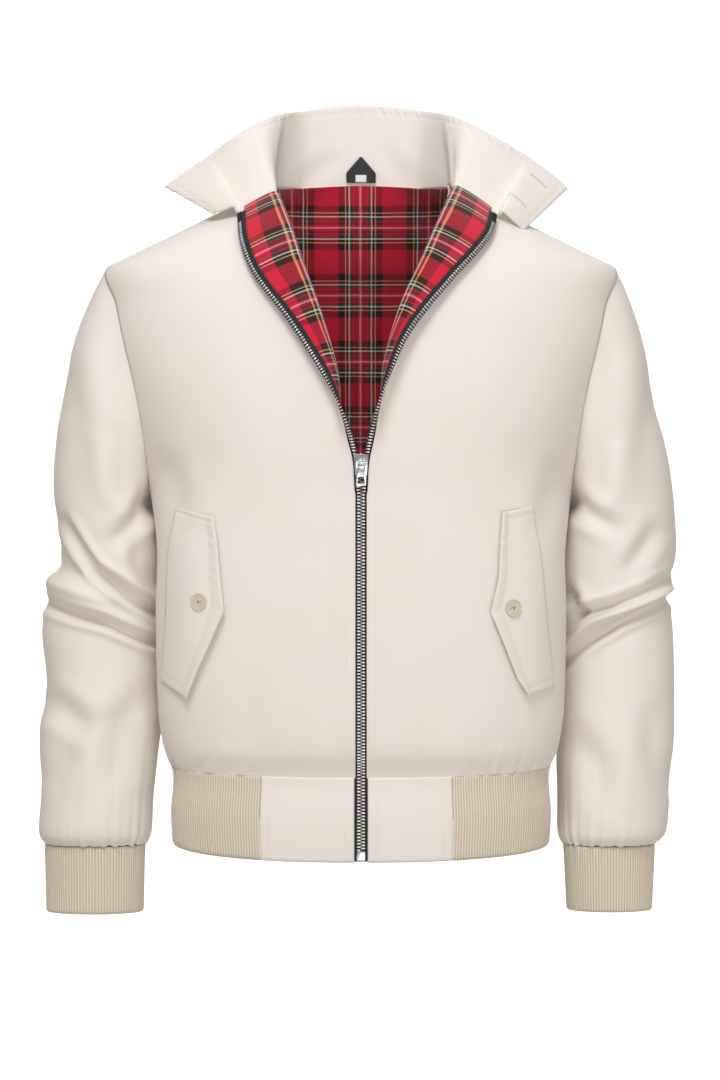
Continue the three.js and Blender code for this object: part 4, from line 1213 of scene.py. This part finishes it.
COLLAR_FOOT = -0.045  # the collar's lower edge goes down behind the neck seam
COLLAR = 2.4
collar_lines = {}
for side, sign in (("right", -1), ("left", 1)):
    top = COLLAR_TOP[side]
    feet = []
    for place in top["place"]:
        if place < 1:
            z = NECK[1] + BACK_NECK_RISE * (1 - place**2)
            foot = on_back(np.array(NECK[0] * place), np.array(z)) * np.array([sign, 1, 1])
        else:
            foot = front_point(side, 2.0, place - 1)
        feet.append(foot + np.array([0, 0, COLLAR_RISE]))
    end = COLLAR_END[side]
    low = np.array(feet + [(sign * x, y, z) for x, y, z in zip(end["x"], end["y"], end["z"])])
    high = [(sign * x, y, z) for x, y, z in zip(top["x"], top["y"], top["z"])]
    high = np.array(high + [(sign * x, y, z) for x, y, z in zip(end["topX"], end["topY"], end["topZ"])])
    collar_lines[side] = (low, high)
collar_low = np.concatenate([collar_lines["right"][0][::-1], collar_lines["left"][0][1:]])
collar_high = np.concatenate([collar_lines["right"][1][::-1], collar_lines["left"][1][1:]])
COLLAR_CENTRE = len(collar_lines["right"][0]) - 1
COLLAR_LAST = len(collar_low) - 1


def along_line(line, place):
    """A point on a smooth line through the collar's columns."""
    i = np.clip(np.floor(place).astype(int), 0, COLLAR_LAST - 1)
    t = (place - i)[..., None]
    before = line[np.maximum(i - 1, 0)]
    a = line[i]
    b = line[i + 1]
    after = line[np.minimum(i + 2, COLLAR_LAST)]
    out = (b - before) * 0.5
    into = (after - a) * 0.5
    span = np.linalg.norm(b - a, axis=-1, keepdims=True)
    out = out * np.minimum(1, span / np.maximum(np.linalg.norm(out, axis=-1, keepdims=True), 1e-6))
    into = into * np.minimum(1, span / np.maximum(np.linalg.norm(into, axis=-1, keepdims=True), 1e-6))
    t2, t3 = t * t, t * t * t
    return a * (2 * t3 - 3 * t2 + 1) + out * (t3 - 2 * t2 + t) + b * (3 * t2 - 2 * t3) + into * (t3 - t2)


def collar_place(t, place):
    t, place = np.broadcast_arrays(np.asarray(t, float), np.asarray(place, float))
    return mix(along_line(collar_low, place), along_line(collar_high, place), t[..., None])


collar_run, collar_column = evenly(lambda v, place: collar_place(0.5, place), 0, COLLAR_LAST)


def collar_grid(up, across):
    return collar_place(mix(COLLAR_FOOT, 1, up), collar_column(across))


def collar_centre(place):
    return np.stack([place[:, 0] * 0.55, np.full(len(place), 0.0) + 30, place[:, 2]], axis=1)


def collar_uv(place, up, across):
    return np.stack([across * collar_run, up * 84], axis=1)


COLLAR_CREASES = [
    ([(-92, 14), (-84, 44), (-88, 74)], 9, 1.6),
    ([(95, 16), (88, 46), (93, 74)], 9, 1.6),
    ([(-60, 20), (-36, 44), (-14, 52)], 9, 1.2),
    ([(52, 18), (34, 44), (22, 66)], 9, 1.2),
    ([(-150, -6), (-128, 14), (-110, 44)], 11, 1.3),
    ([(158, -10), (138, 14), (126, 46)], 11, 1.3),
]


def collar_folds(place, up, across):
    top = (1 - up) * 84
    run = across * collar_run
    ends = np.minimum(run, collar_run - run)
    rim = np.minimum(top, ends)
    stitched = -0.45 * np.exp(-(((rim - 7) / 1.8) ** 2))
    pucker = puckers(run + 0.6 * up * 84, np.abs(rim - 4), 8, 0.8, 5)
    roll = 1.6 * np.sin(math.pi * np.clip(up, 0, 1)) * fade(np.abs(across - 0.5), 0.1, 0.3)
    soft = 0.8 * np.sin(run / 31 + 1.1) * np.sin(2.4 * up + 0.4) * fade(np.abs(across - 0.5), 0.08, 0.2)
    for path, width, deep in COLLAR_CREASES:
        soft = soft + crease(place, path, width, deep) * fade(top, 6, 20)
    return stitched + pucker + roll + soft + edge_dip(up * 84) * 0.6 + rounded_edge(rim) * 0.8


collar = grid("collar_cloth", 300, 46)
collar_face = hang(collar, collar_grid, collar_uv, COLLAR, collar_centre, collar_folds)
twill.give(collar)
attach(collar, "jacket")
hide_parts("collar")
rests = ["front_cloth_right", "front_cloth_left", "back_cloth"]

# ---- Pocket flaps: pointed flaps down the slanted pockets ----
# Two layers of twill, sewn down along the side edge and held at the point by one button.
FLAPS = {
    "right": table(
        "row sewnX sewnZ freeX freeZ",
        (0, 183, -315, 142, -325),
        (1, 185, -328, 138.5, -350),
        (2, 191, -360, 135.5, -385),
        (3, 193, -395, 132, -416.6),
        (4, 193.5, -424, 144, -445),
        (5, 195.5, -455, 157, -474),
        (6, 198, -487, 168.5, -502),
    ),
    "left": table(
        "row sewnX sewnZ freeX freeZ",
        (0, 169, -314, 136.6, -320.5),
        (1, 172, -338, 134.5, -350),
        (2, 177, -370, 132.8, -385),
        (3, 180, -400, 125, -418),
        (4, 183.5, -431, 139, -452),
        (5, 187.5, -462, 151, -483),
        (6, 190, -492.5, 161, -498),
    ),
}
FLAP = 2.0
FLAP_CLEAR = 0.7
FLAP_LIFT = 3
FLAP_CURL = 3  # the free edge curls a little further off the body


def front_normal(x, z):
    theta = theta_at(x, z)
    around = ring(z, theta + 0.01) - ring(z, theta - 0.01)
    rise = ring(z + 1, theta) - ring(z - 1, theta)
    return unit(np.cross(around, rise))


def flap_point(side, row, across, stand=0.0):
    """A flap's form: row runs down it, across from the sewn edge to the free edge."""
    rows = FLAPS[side]
    value = {name: np.interp(row, rows["row"], rows[name]) for name in rows}
    x = mix(value["sewnX"], value["freeX"], across)
    z = mix(value["sewnZ"], value["freeZ"], across)
    curl = FLAP_CURL * np.maximum((across - 0.7) / 0.3, 0) ** 2
    lift = FLAP_CLEAR + FLAP_LIFT * across + FLAP + stand + curl
    point = ring(z, theta_at(x, z)) + front_normal(x, z) * lift[..., None]
    turned = point * np.array([-1 if side == "right" else 1, 1, 1])
    folds = body_folds(turned, (z - HEM_SIDE) / (ARMPIT_Z - HEM_SIDE))
    point = point + front_normal(x, z) * folds[..., None]
    if side == "right":
        point[..., 0] *= -1
    return point


def flap_grid(side):
    def form(up, across):
        return flap_point(side, 6 * (1 - up), across)
    return form


def flap_uv(place, up, across):
    return np.stack([place[:, 0], place[:, 2]], axis=1)


def flap_folds(place, up, across):
    down = (1 - up) * 180
    free = (1 - across) * 46
    rim = np.minimum(np.minimum(down, 180 - down), free)
    sewn = -0.45 * np.exp(-(((rim - 8.5) / 1.6) ** 2))
    pucker = puckers(down, np.abs(rim - 5), 10, 0.22, 5)
    bow = 0.9 * np.sin(math.pi * across) * np.sin(math.pi * up)
    return sewn + pucker + bow + rounded_edge(rim) * 0.8 + edge_dip(across * 46) * 0.5


flap_faces = {}
for side in ("right", "left"):
    piece = grid("flap_cloth_" + side, 44, 140)
    flap_faces[side] = hang(piece, flap_grid(side), flap_uv, FLAP, torso_middle, flap_folds)
    twill.give(piece)
    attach(piece, "jacket")
    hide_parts("flap_" + side)
    "front_cloth_" + side

# ---- Zip: tapes, teeth, slider, pull tab and bottom box ----
# A metal-tooth zip on black woven tape, sewn between the outer cloth and the lining. Teeth are
# clamped on the tape's beaded edge; the slider and box are die-cast and plated.
TOOTH_PITCH = 3.2
CHAIN_TOP, CHAIN_BOTTOM = -0.3, -3.9
TAPE_TOP, TAPE_THICK = -2.2, 0.7
TAPE_BEAD = 0.06  # the tape reaches in under the teeth

tape = Finish("zip_tape", {"Specular IOR Level": 0.2, "Sheen Weight": 0.1})
tape_uv, tape_x, tape_z = tape.cloth_place()
herring = ((tape_z + tape_x.maths("PINGPONG", 0.0022)) * (2 * math.pi / 0.0012)).maths("SINE") * 0.5 + 0.5
lint = tape.noise(500, 3, tape_uv)
tape.show("Base Color", tape.blend(colour(20, 20, 22), colour(62, 60, 60), herring * 0.5 + lint * 0.35))
tape.show("Roughness", 0.65 + lint * 0.25)
tape.bump(herring + lint * 0.5, 0.0002, 0.6)

metal = Finish("zip_metal", {"Metallic": 1.0})
scratch = metal.noise(420, 4)
worn = metal.noise(60, 2)
metal.show("Base Color", metal.blend(colour(132, 132, 134), colour(196, 196, 198), worn))
metal.show("Roughness", 0.2 + scratch * 0.2)
metal.bump(scratch, 0.00008, 0.3)


def zip_spot(side, v, distance, depth):
    """A place on the zip, a distance from its middle line and a depth from the cloth's face."""
    v = np.asarray(v, float)
    step = 0.004
    low = np.clip(v - step, -1, 2)
    high = np.clip(v + step, -1, 2)
    column = column_at(side, v, distance)
    place = front_point(side, v, column)
    above = front_point(side, high, column_at(side, high, distance))
    along = unit(above - front_point(side, low, column_at(side, low, distance)))
    across = unit(front_point(side, v, column + 0.05) - front_point(side, v, column - 0.05))
    out = unit(np.cross(along, across))
    if side == "right":
        out = -out
    if out[np.argmin(np.abs(v)), 1] > 0:
        out = -out
    return place + out * depth, along, across, out


zip_v = np.linspace(-0.99, 1.985, 700)
zip_line = {}
for side in ("right", "left"):
    line = front_point(side, zip_v, np.full(700, 3.0))
    zip_line[side] = np.concatenate([[0], np.cumsum(np.linalg.norm(np.diff(line, axis=0), axis=1))])


def tape_form(side):
    def form(up, across):
        v = np.interp(up * zip_line[side][-1], zip_line[side], zip_v)
        place, _, _, _ = zip_spot(side, v, mix(EDGE["tape_out"], TAPE_BEAD, across), TAPE_TOP)
        return place
    return form


def tape_run(side):
    def uv(place, up, across):
        return np.stack([across * 7, up * zip_line[side][-1]], axis=1)
    return uv


for side in ("right", "left"):
    piece = grid("tape_" + side, 6, 220)
    hang(piece, tape_form(side), tape_run(side), TAPE_THICK, torso_middle)
    tape.give(piece)
    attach(piece, "jacket")
    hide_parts("zip_tape_" + side)
    "front_cloth_" + side


def copies(name, shape, places, axes, material, body):
    """One mesh of many copies of a shape, each turned to its own three axes."""
    corners = np.array([vertex.co[:] for vertex in shape.data.vertices])
    faces = [list(face.vertices) for face in shape.data.polygons]
    every = np.einsum("nij,mi->nmj", axes, corners) + places[:, None, :]
    count = len(corners)
    joined = [[corner + i * count for corner in face] for i in range(len(places)) for face in faces]
    mesh = bpy.data.meshes.new(name)
    mesh.from_pydata((every.reshape(-1, 3) * MM).tolist(), [], joined)
    piece = bpy.data.objects.new(name, mesh)
    bpy.context.collection.objects.link(piece)
    bpy.data.objects.remove(shape)
    bpy.ops.object.select_all(action="DESELECT")
    bpy.context.view_layer.objects.active = piece
    piece.select_set(True)
    bpy.ops.object.mode_set(mode="EDIT")
    bpy.ops.mesh.select_all(action="SELECT")
    bpy.ops.mesh.normals_make_consistent(inside=False)
    bpy.ops.object.mode_set(mode="OBJECT")
    bpy.ops.object.shade_smooth_by_angle(angle=math.radians(50))
    material.give(piece)
    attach(piece, body)
    return piece


def tooth():
    """A tooth: a jaw clamped on the tape and a narrower nose that locks with its neighbours."""
    bpy.ops.object.select_all(action="DESELECT")
    bpy.ops.mesh.primitive_cube_add(size=1)
    shape = bpy.context.object
    shape.scale = (2.2, 1.75, CHAIN_TOP - CHAIN_BOTTOM)
    bpy.ops.object.transform_apply(scale=True)
    bpy.ops.object.mode_set(mode="EDIT")
    bpy.ops.mesh.select_mode(type="FACE")
    bpy.ops.mesh.select_all(action="DESELECT")
    bpy.ops.object.mode_set(mode="OBJECT")
    for face in shape.data.polygons:
        face.select = face.normal.x > 0.9
    bpy.ops.object.mode_set(mode="EDIT")
    bpy.ops.mesh.extrude_region_move(TRANSFORM_OT_translate={"value": (2.5, 0, 0)})
    bpy.ops.transform.resize(value=(1, 0.62, 0.72))
    bpy.ops.object.mode_set(mode="OBJECT")
    soften = shape.modifiers.new("soften", "BEVEL")
    soften.width = 0.28
    soften.segments = 1
    bpy.ops.object.modifier_apply(modifier=soften.name)
    return shape


for side, phase in (("right", 0.25), ("left", 0.75)):
    start = np.interp(-0.86, zip_v, zip_line[side])
    end = np.interp(1.958, zip_v, zip_line[side])
    count = int((end - start) / TOOTH_PITCH)
    run = start + (np.arange(count) + phase) * TOOTH_PITCH
    v = np.interp(run, zip_line[side], zip_v)
    place, along, across, out = zip_spot(side, v, np.full(count, 3.0), (CHAIN_TOP + CHAIN_BOTTOM) / 2)
    axes = np.stack([across, along, out], axis=1)
    teeth = copies("teeth_" + side, tooth(), place, axes, metal, "jacket")
    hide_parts("zip_chain_" + side)


def softened(node, name, body, material, width):
    """A hard part of the frame with its edges rounded as a casting's are."""
    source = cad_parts[node]
    piece = source.copy()
    piece.data = source.data.copy()
    piece.name = name
    piece.parent = None
    bpy.context.collection.objects.link(piece)
    bpy.ops.object.select_all(action="DESELECT")
    bpy.context.view_layer.objects.active = piece
    piece.select_set(True)
    bpy.ops.object.mode_set(mode="EDIT")
    bpy.ops.mesh.select_all(action="SELECT")
    bpy.ops.mesh.remove_doubles(threshold=0.000005)
    bpy.ops.mesh.dissolve_limited(angle_limit=math.radians(1))
    bpy.ops.object.mode_set(mode="OBJECT")
    bevel = piece.modifiers.new("soften", "BEVEL")
    bevel.width = width * MM
    bevel.segments = 2
    bevel.limit_method = "ANGLE"
    bevel.angle_limit = math.radians(35)
    bpy.ops.object.modifier_apply(modifier=bevel.name)
    bpy.ops.object.shade_smooth_by_angle(angle=math.radians(40))
    material.give(piece)
    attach(piece, body)
    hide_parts(node)
    return piece


softened("slider", "slider_casting", "jacket", metal, 0.28)
softened("pull_tab", "pull_plate", "pull_tab", metal, 0.22)
softened("zip_box", "box_casting", "jacket", metal, 0.3)
stop_cover = Finish("stop_cover", {"Specular IOR Level": 0.2})
nap = stop_cover.noise(900, 3)
stop_cover.show("Base Color", stop_cover.blend(colour(18, 18, 20), colour(58, 56, 56), nap))
stop_cover.show("Roughness", 0.65 + nap * 0.25)
stop_cover.bump(nap, 0.0002, 0.5)
for side in ("right", "left"):
    stop_cover.give(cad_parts["zip_stop_" + side])

# ---- Neck label: a bare black loop label with a small white size patch ----
# Woven satin sewn into the seam under the collar, folded to a point; both are left bare.
LABEL_THICK = 0.7
satin = Finish("label_satin", {"Specular IOR Level": 0.35})
satin_uv, _, satin_z = satin.cloth_place()
float_line = (satin_z * (2 * math.pi / 0.0007)).maths("SINE") * 0.5 + 0.5
satin_mix = float_line * 0.6 + satin.noise(300, 2, satin_uv) * 0.4
satin.show("Base Color", satin.blend(colour(18, 18, 20), colour(44, 43, 46), satin_mix))
satin.show("Roughness", 0.45 + float_line * 0.2)
satin.bump(float_line, 0.0001, 0.5)
patch_white = Finish("patch_satin", {"Specular IOR Level": 0.35})
_, _, patch_z = patch_white.cloth_place()
patch_line = (patch_z * (2 * math.pi / 0.0006)).maths("SINE") * 0.5 + 0.5
patch_white.show("Base Color", patch_white.blend(colour(206, 205, 202), colour(240, 240, 238), patch_line))
patch_white.show("Roughness", 0.5 + patch_line * 0.2)
patch_white.bump(patch_line, 0.0001, 0.4)


def label_form(low, high, half):
    def form(up, across):
        t = mix(low, high, up)
        return collar_place(t, COLLAR_CENTRE + (2 * across - 1) * half(t))
    return form


def label_half(t):
    return np.where(t <= 0.13, 0.5, 0.5 * mix(1, 0.06, (t - 0.13) / 0.2))


def label_uv(place, up, across):
    return np.stack([place[:, 0], place[:, 2]], axis=1)


def neck_side(place):
    """The label faces the neck, so its outer face is seen from inside the collar."""
    return np.stack([place[:, 0], np.full(len(place), 400.0), place[:, 2]], axis=1)


def collar_middle(place):
    return np.stack([place[:, 0], np.full(len(place), -100.0), place[:, 2]], axis=1)


label = grid("label_cloth", 18, 24)
form = under(label_form(0.005, 0.33, label_half), collar_middle, COLLAR + GAP + LABEL_THICK)
hang(label, form, label_uv, LABEL_THICK, neck_side)
satin.give(label)
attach(label, "jacket")
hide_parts("neck_label")
size_patch = grid("patch_cloth", 8, 8)
patch_depth = COLLAR + 2 * GAP + LABEL_THICK + 0.4
form = under(label_form(0.01, 0.1, lambda t: 0.19 + 0 * t), collar_middle, patch_depth)
hang(size_patch, form, label_uv, 0.4, neck_side)
patch_white.give(size_patch)
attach(size_patch, "jacket")
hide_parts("size_patch")

# ---- Buttons: two on the pocket flaps and two small ones on the collar's hidden face ----
# Cast resin with a raised rim and two holes, sewn on through both with brown thread.
resin = Finish("button_resin", {"Coat Weight": 0.25, "Coat Roughness": 0.2, "Specular IOR Level": 0.5})
swirl = resin.noise(160, 4)
resin.show("Base Color", resin.blend(colour(188, 176, 154), colour(214, 204, 186), swirl))
resin.show("Roughness", 0.28 + swirl * 0.2)
resin.bump(resin.noise(900, 2), 0.00005, 0.3)
thread = Finish("sewing_thread", {"Specular IOR Level": 0.3, "Sheen Weight": 0.3})
ply = thread.noise(1500, 2)
thread.show("Base Color", thread.blend(colour(196, 184, 166), colour(238, 230, 218), ply))
thread.show("Roughness", 0.6 + ply * 0.3)
thread.bump(ply, 0.0001, 0.4)
brown = Finish("button_thread", {"Specular IOR Level": 0.2})
brown_ply = brown.noise(1500, 2)
brown.show("Base Color", brown.blend(colour(96, 80, 60), colour(132, 112, 88), brown_ply))
brown.show("Roughness", 0.6 + brown_ply * 0.3)
brown.bump(brown_ply, 0.0001, 0.4)

BUTTONS = {  # radius of each
    "flap_button_right": 8.9,
    "flap_button_left": 8.9,
    "collar_button_upper": 6,
    "collar_button_lower": 6,
}
BUTTON_THICK = 2.6
HOLE_SPREAD = 1.8


def frame_of(node):
    """Middle of a button's node, and its own three axes: along the holes, across them and out."""
    corners = np.array([vertex.co[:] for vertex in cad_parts[node].data.vertices]) / MM
    middle = corners.mean(axis=0)
    out = np.linalg.svd(corners - middle)[2][2]
    if np.dot(out, middle - np.array([middle[0] * 0.4, 30, middle[2]])) < 0:
        out = -out
    up = unit(np.array([0, 0, 1.0]) - out * out[2])
    return middle, np.stack([np.cross(up, out), up, out])


def turned_to(piece, middle, axes):
    corners = np.array([vertex.co[:] for vertex in piece.data.vertices])
    piece.data.vertices.foreach_set("co", ((corners @ axes + middle) * MM).ravel())
    piece.data.update()


for node, radius in BUTTONS.items():
    middle, axes = frame_of(node)
    softened(node, node + "_resin", "jacket", resin, 0.25)
    bpy.ops.object.select_all(action="DESELECT")
    rim_size = {
        "major_radius": radius - 1.0, "minor_radius": 0.75, "major_segments": 48, "minor_segments": 10,
    }
    bpy.ops.mesh.primitive_torus_add(**rim_size, location=(0, 0, 0))
    rim = bpy.context.object
    rim.name = node + "_rim"
    turned_to(rim, middle + axes[2] * (BUTTON_THICK / 2 - 0.25), axes)
    bpy.ops.object.shade_smooth()
    resin.give(rim)
    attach(rim, "jacket")
    bpy.ops.object.select_all(action="DESELECT")
    bpy.ops.mesh.primitive_torus_add(
        major_radius=HOLE_SPREAD, minor_radius=0.42, major_segments=28, minor_segments=8,
        rotation=(0, math.pi / 2, 0)
    )
    loop = bpy.context.object
    bpy.ops.object.transform_apply(rotation=True)
    loop.name = node + "_thread"
    loop.scale = (1.6, 1, 0.72)
    bpy.ops.object.transform_apply(scale=True)
    turned_to(loop, middle + axes[2] * 0.2, axes)
    bpy.ops.object.shade_smooth()
    brown.give(loop)
    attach(loop, "jacket")

# ---- Stitching: rows of lockstitch round the edges and beside the zip ----
# Matching polyester thread, about three millimetres to the stitch. Each row is one mesh of
# short rounded threads that lie half sunk in the cloth.
STITCH = {"pitch": 3.0, "length": 2.5, "radius": 0.3}


def strand():
    bpy.ops.object.select_all(action="DESELECT")
    bpy.ops.mesh.primitive_uv_sphere_add(segments=6, ring_count=5, radius=1, rotation=(0, math.pi / 2, 0))
    shape = bpy.context.object
    shape.scale = (STITCH["length"] / 2, STITCH["radius"], STITCH["radius"])
    bpy.ops.object.transform_apply(rotation=True, scale=True)
    return shape


def sew(name, rows, cotton=thread):
    """Rows of stitches, each along places that have their ways out of the cloth."""
    places = []
    frames = []
    for path, out in rows:
        run = np.concatenate([[0], np.cumsum(np.linalg.norm(np.diff(path, axis=0), axis=1))])
        middle = (np.arange(int(run[-1] / STITCH["pitch"])) + 0.5) * STITCH["pitch"]

        def at(place, values, run=run):
            return np.stack([np.interp(place, run, values[:, axis]) for axis in range(3)], axis=1)

        half = STITCH["length"] / 2
        along = unit(at(middle + half, path) - at(middle - half, path))
        away = at(middle, out)
        side = unit(np.cross(away, along))
        places.append(at(middle, path))
        frames.append(np.stack([along, side, np.cross(along, side)], axis=1))
    return copies(name, strand(), np.concatenate(places), np.concatenate(frames), cotton, "jacket")


def row_on(face, up, across, depth=-0.05):
    up, across = np.broadcast_arrays(np.asarray(up, float), np.asarray(across, float))
    return face.spot(up, across, depth)


line = np.linspace(0, 1, 260)
collar_edge = 7 / 84
end_share = 7 / collar_run
for name, depth in (("outside", -0.05), ("inside", COLLAR + 0.05)):
    rows = [
        row_on(collar_face, 1 - collar_edge, mix(end_share, 1 - end_share, line), depth),
        row_on(collar_face, mix(0.08, 1 - collar_edge, line), end_share, depth),
        row_on(collar_face, mix(0.08, 1 - collar_edge, line), 1 - end_share, depth),
    ]
    sew("stitch_collar_" + name, rows)
for side in ("right", "left"):
    free = 1 - 8.5 / 46
    top = 1 - 8.5 / 180
    face = flap_faces[side]
    rows = [
        row_on(face, mix(1 - top, top, line), free),
        row_on(face, top, mix(0.06, free, line)),
        row_on(face, 1 - top, mix(0.06, free, line)),
    ]
    sew("stitch_flap_" + side, rows)
    width = TAB_HALF[side] - 6.6
    face = tab_faces[side]
    low_to_high = mix(0.02, 0.98, line)
    rows = [row_on(face, low_to_high, 1 - 9.5 / width), row_on(face, low_to_high, 7 / width)]
    sew("stitch_tab_" + side, rows)

red_thread = Finish("red_thread", {"Specular IOR Level": 0.3})
red_ply = red_thread.noise(1500, 2)
red_thread.show("Base Color", red_thread.blend(colour(120, 20, 40), colour(196, 60, 76), red_ply))
red_thread.show("Roughness", 0.6 + red_ply * 0.3)
ZIP_STITCH = 13.6
LINING_STITCH = 9.0


def beside_zip(side, face, edge, distance, low, high, depth):
    """A row on the front or its lining, at a distance from the zip's middle line."""
    v = np.linspace(low, high, 500)
    up = body_share(v)
    end = column_at(side, v, edge)
    across = 0.7 + 0.3 * (column_at(side, v, distance) - 1) / (end - 1)
    return face.spot(up, across, depth)


for side in ("right", "left"):
    rows = [
        beside_zip(side, front_faces[side], EDGE["shell"], ZIP_STITCH, 0.01, 1.98, -0.05),
        beside_zip(side, front_faces[side], EDGE["shell"], 7.2, 0.01, 1.98, -0.05),
    ]
    sew("stitch_front_" + side, rows)
    row = beside_zip(side, lining_faces[side], EDGE["lining"], LINING_STITCH, 1.1, 1.98, LINING + 0.05)
    sew("stitch_lining_" + side, [row], red_thread)

# ---- Buttonholes: two in the wearer's left end of the collar, and knots on the other end ----
# Cut slits worked over with close satin stitch. On the other end only the thread of the two
# hidden buttons comes through, as small knots.
HOLE = {"length": 18, "half": 1.5, "pitch": 0.62}


def satin_bars(face, up, across, direction, depth):
    """Short bars of thread side by side, down both edges of a slit and across its ends."""
    start = np.array([up, across]) - np.array(direction) / 2
    steps_along = np.linspace(0, 1, int(HOLE["length"] / HOLE["pitch"]))
    up_at = start[0] + steps_along * direction[0]
    place, out = face.spot(up_at, start[1] + steps_along * direction[1], depth)
    along = unit(np.gradient(place, axis=0))
    side = unit(np.cross(out, along))
    rows = []
    for edge in (-1, 1):
        middle = place + side * edge * (HOLE["half"] * 0.55)
        rows.append((middle, np.stack([side, along, np.cross(side, along)], axis=1)))
    for end in (0, -1):
        spread = np.linspace(-HOLE["half"], HOLE["half"], 5)[:, None]
        middle = place[end] + side[end] * spread
        frame_here = np.stack([along[end], side[end], np.cross(along[end], side[end])])
        rows.append((middle, np.repeat(frame_here[None], 5, axis=0)))
    places = np.concatenate([row[0] for row in rows])
    axes = np.concatenate([row[1] for row in rows])
    return places, axes


def bar():
    bpy.ops.object.select_all(action="DESELECT")
    bpy.ops.mesh.primitive_uv_sphere_add(segments=6, ring_count=5, radius=1, rotation=(0, math.pi / 2, 0))
    shape = bpy.context.object
    shape.scale = (0.85, 0.3, 0.34)
    bpy.ops.object.transform_apply(rotation=True, scale=True)
    return shape


def collar_share(side, x, z):
    """The shares up and along the collar of its spot nearest to an x and z."""
    ups = np.linspace(0.05, 0.98, 90)[:, None]
    shares = (np.linspace(0.66, 0.99, 150) if side == "left" else np.linspace(0.01, 0.34, 150))[None]
    place, _ = collar_face.spot(ups + 0 * shares, shares + 0 * ups)
    gap = (place[..., 0] - x) ** 2 + (place[..., 2] - z) ** 2
    i, j = np.unravel_index(np.argmin(gap), gap.shape)
    return np.array([ups[i, 0], shares[0, j]])


BUTTONHOLES = [((172, 25), (188, 11)), ((150, 1), (166, -12))]
pieces_of_hole = []
for first, last in BUTTONHOLES:
    a = collar_share("left", *first)
    b = collar_share("left", *last)
    for depth in (COLLAR + 0.08, -0.08):
        pieces_of_hole.append(satin_bars(collar_face, *((a + b) / 2), b - a, depth))
places = np.concatenate([row[0] for row in pieces_of_hole])
axes = np.concatenate([row[1] for row in pieces_of_hole])
copies("buttonholes", bar(), places, axes, thread, "jacket")

KNOTS = [(-160, 24), (-144, 11)]
knot_rows = []
for x, z in KNOTS:
    up, across = collar_share("right", x, z)
    shares = np.linspace(-0.5, 0.5, 4)
    place, out = collar_face.spot(up + shares * 0.02, across + 0 * shares, COLLAR + 0.1)
    along = unit(np.gradient(place, axis=0))
    side = unit(np.cross(out, along))
    knot_rows.append((place, np.stack([side * 1.3, along * 1.6, out * 1.6], axis=1)))
places = np.concatenate([row[0] for row in knot_rows])
axes = np.concatenate([row[1] for row in knot_rows])
copies("collar_knots", bar(), places, axes, thread, "jacket")
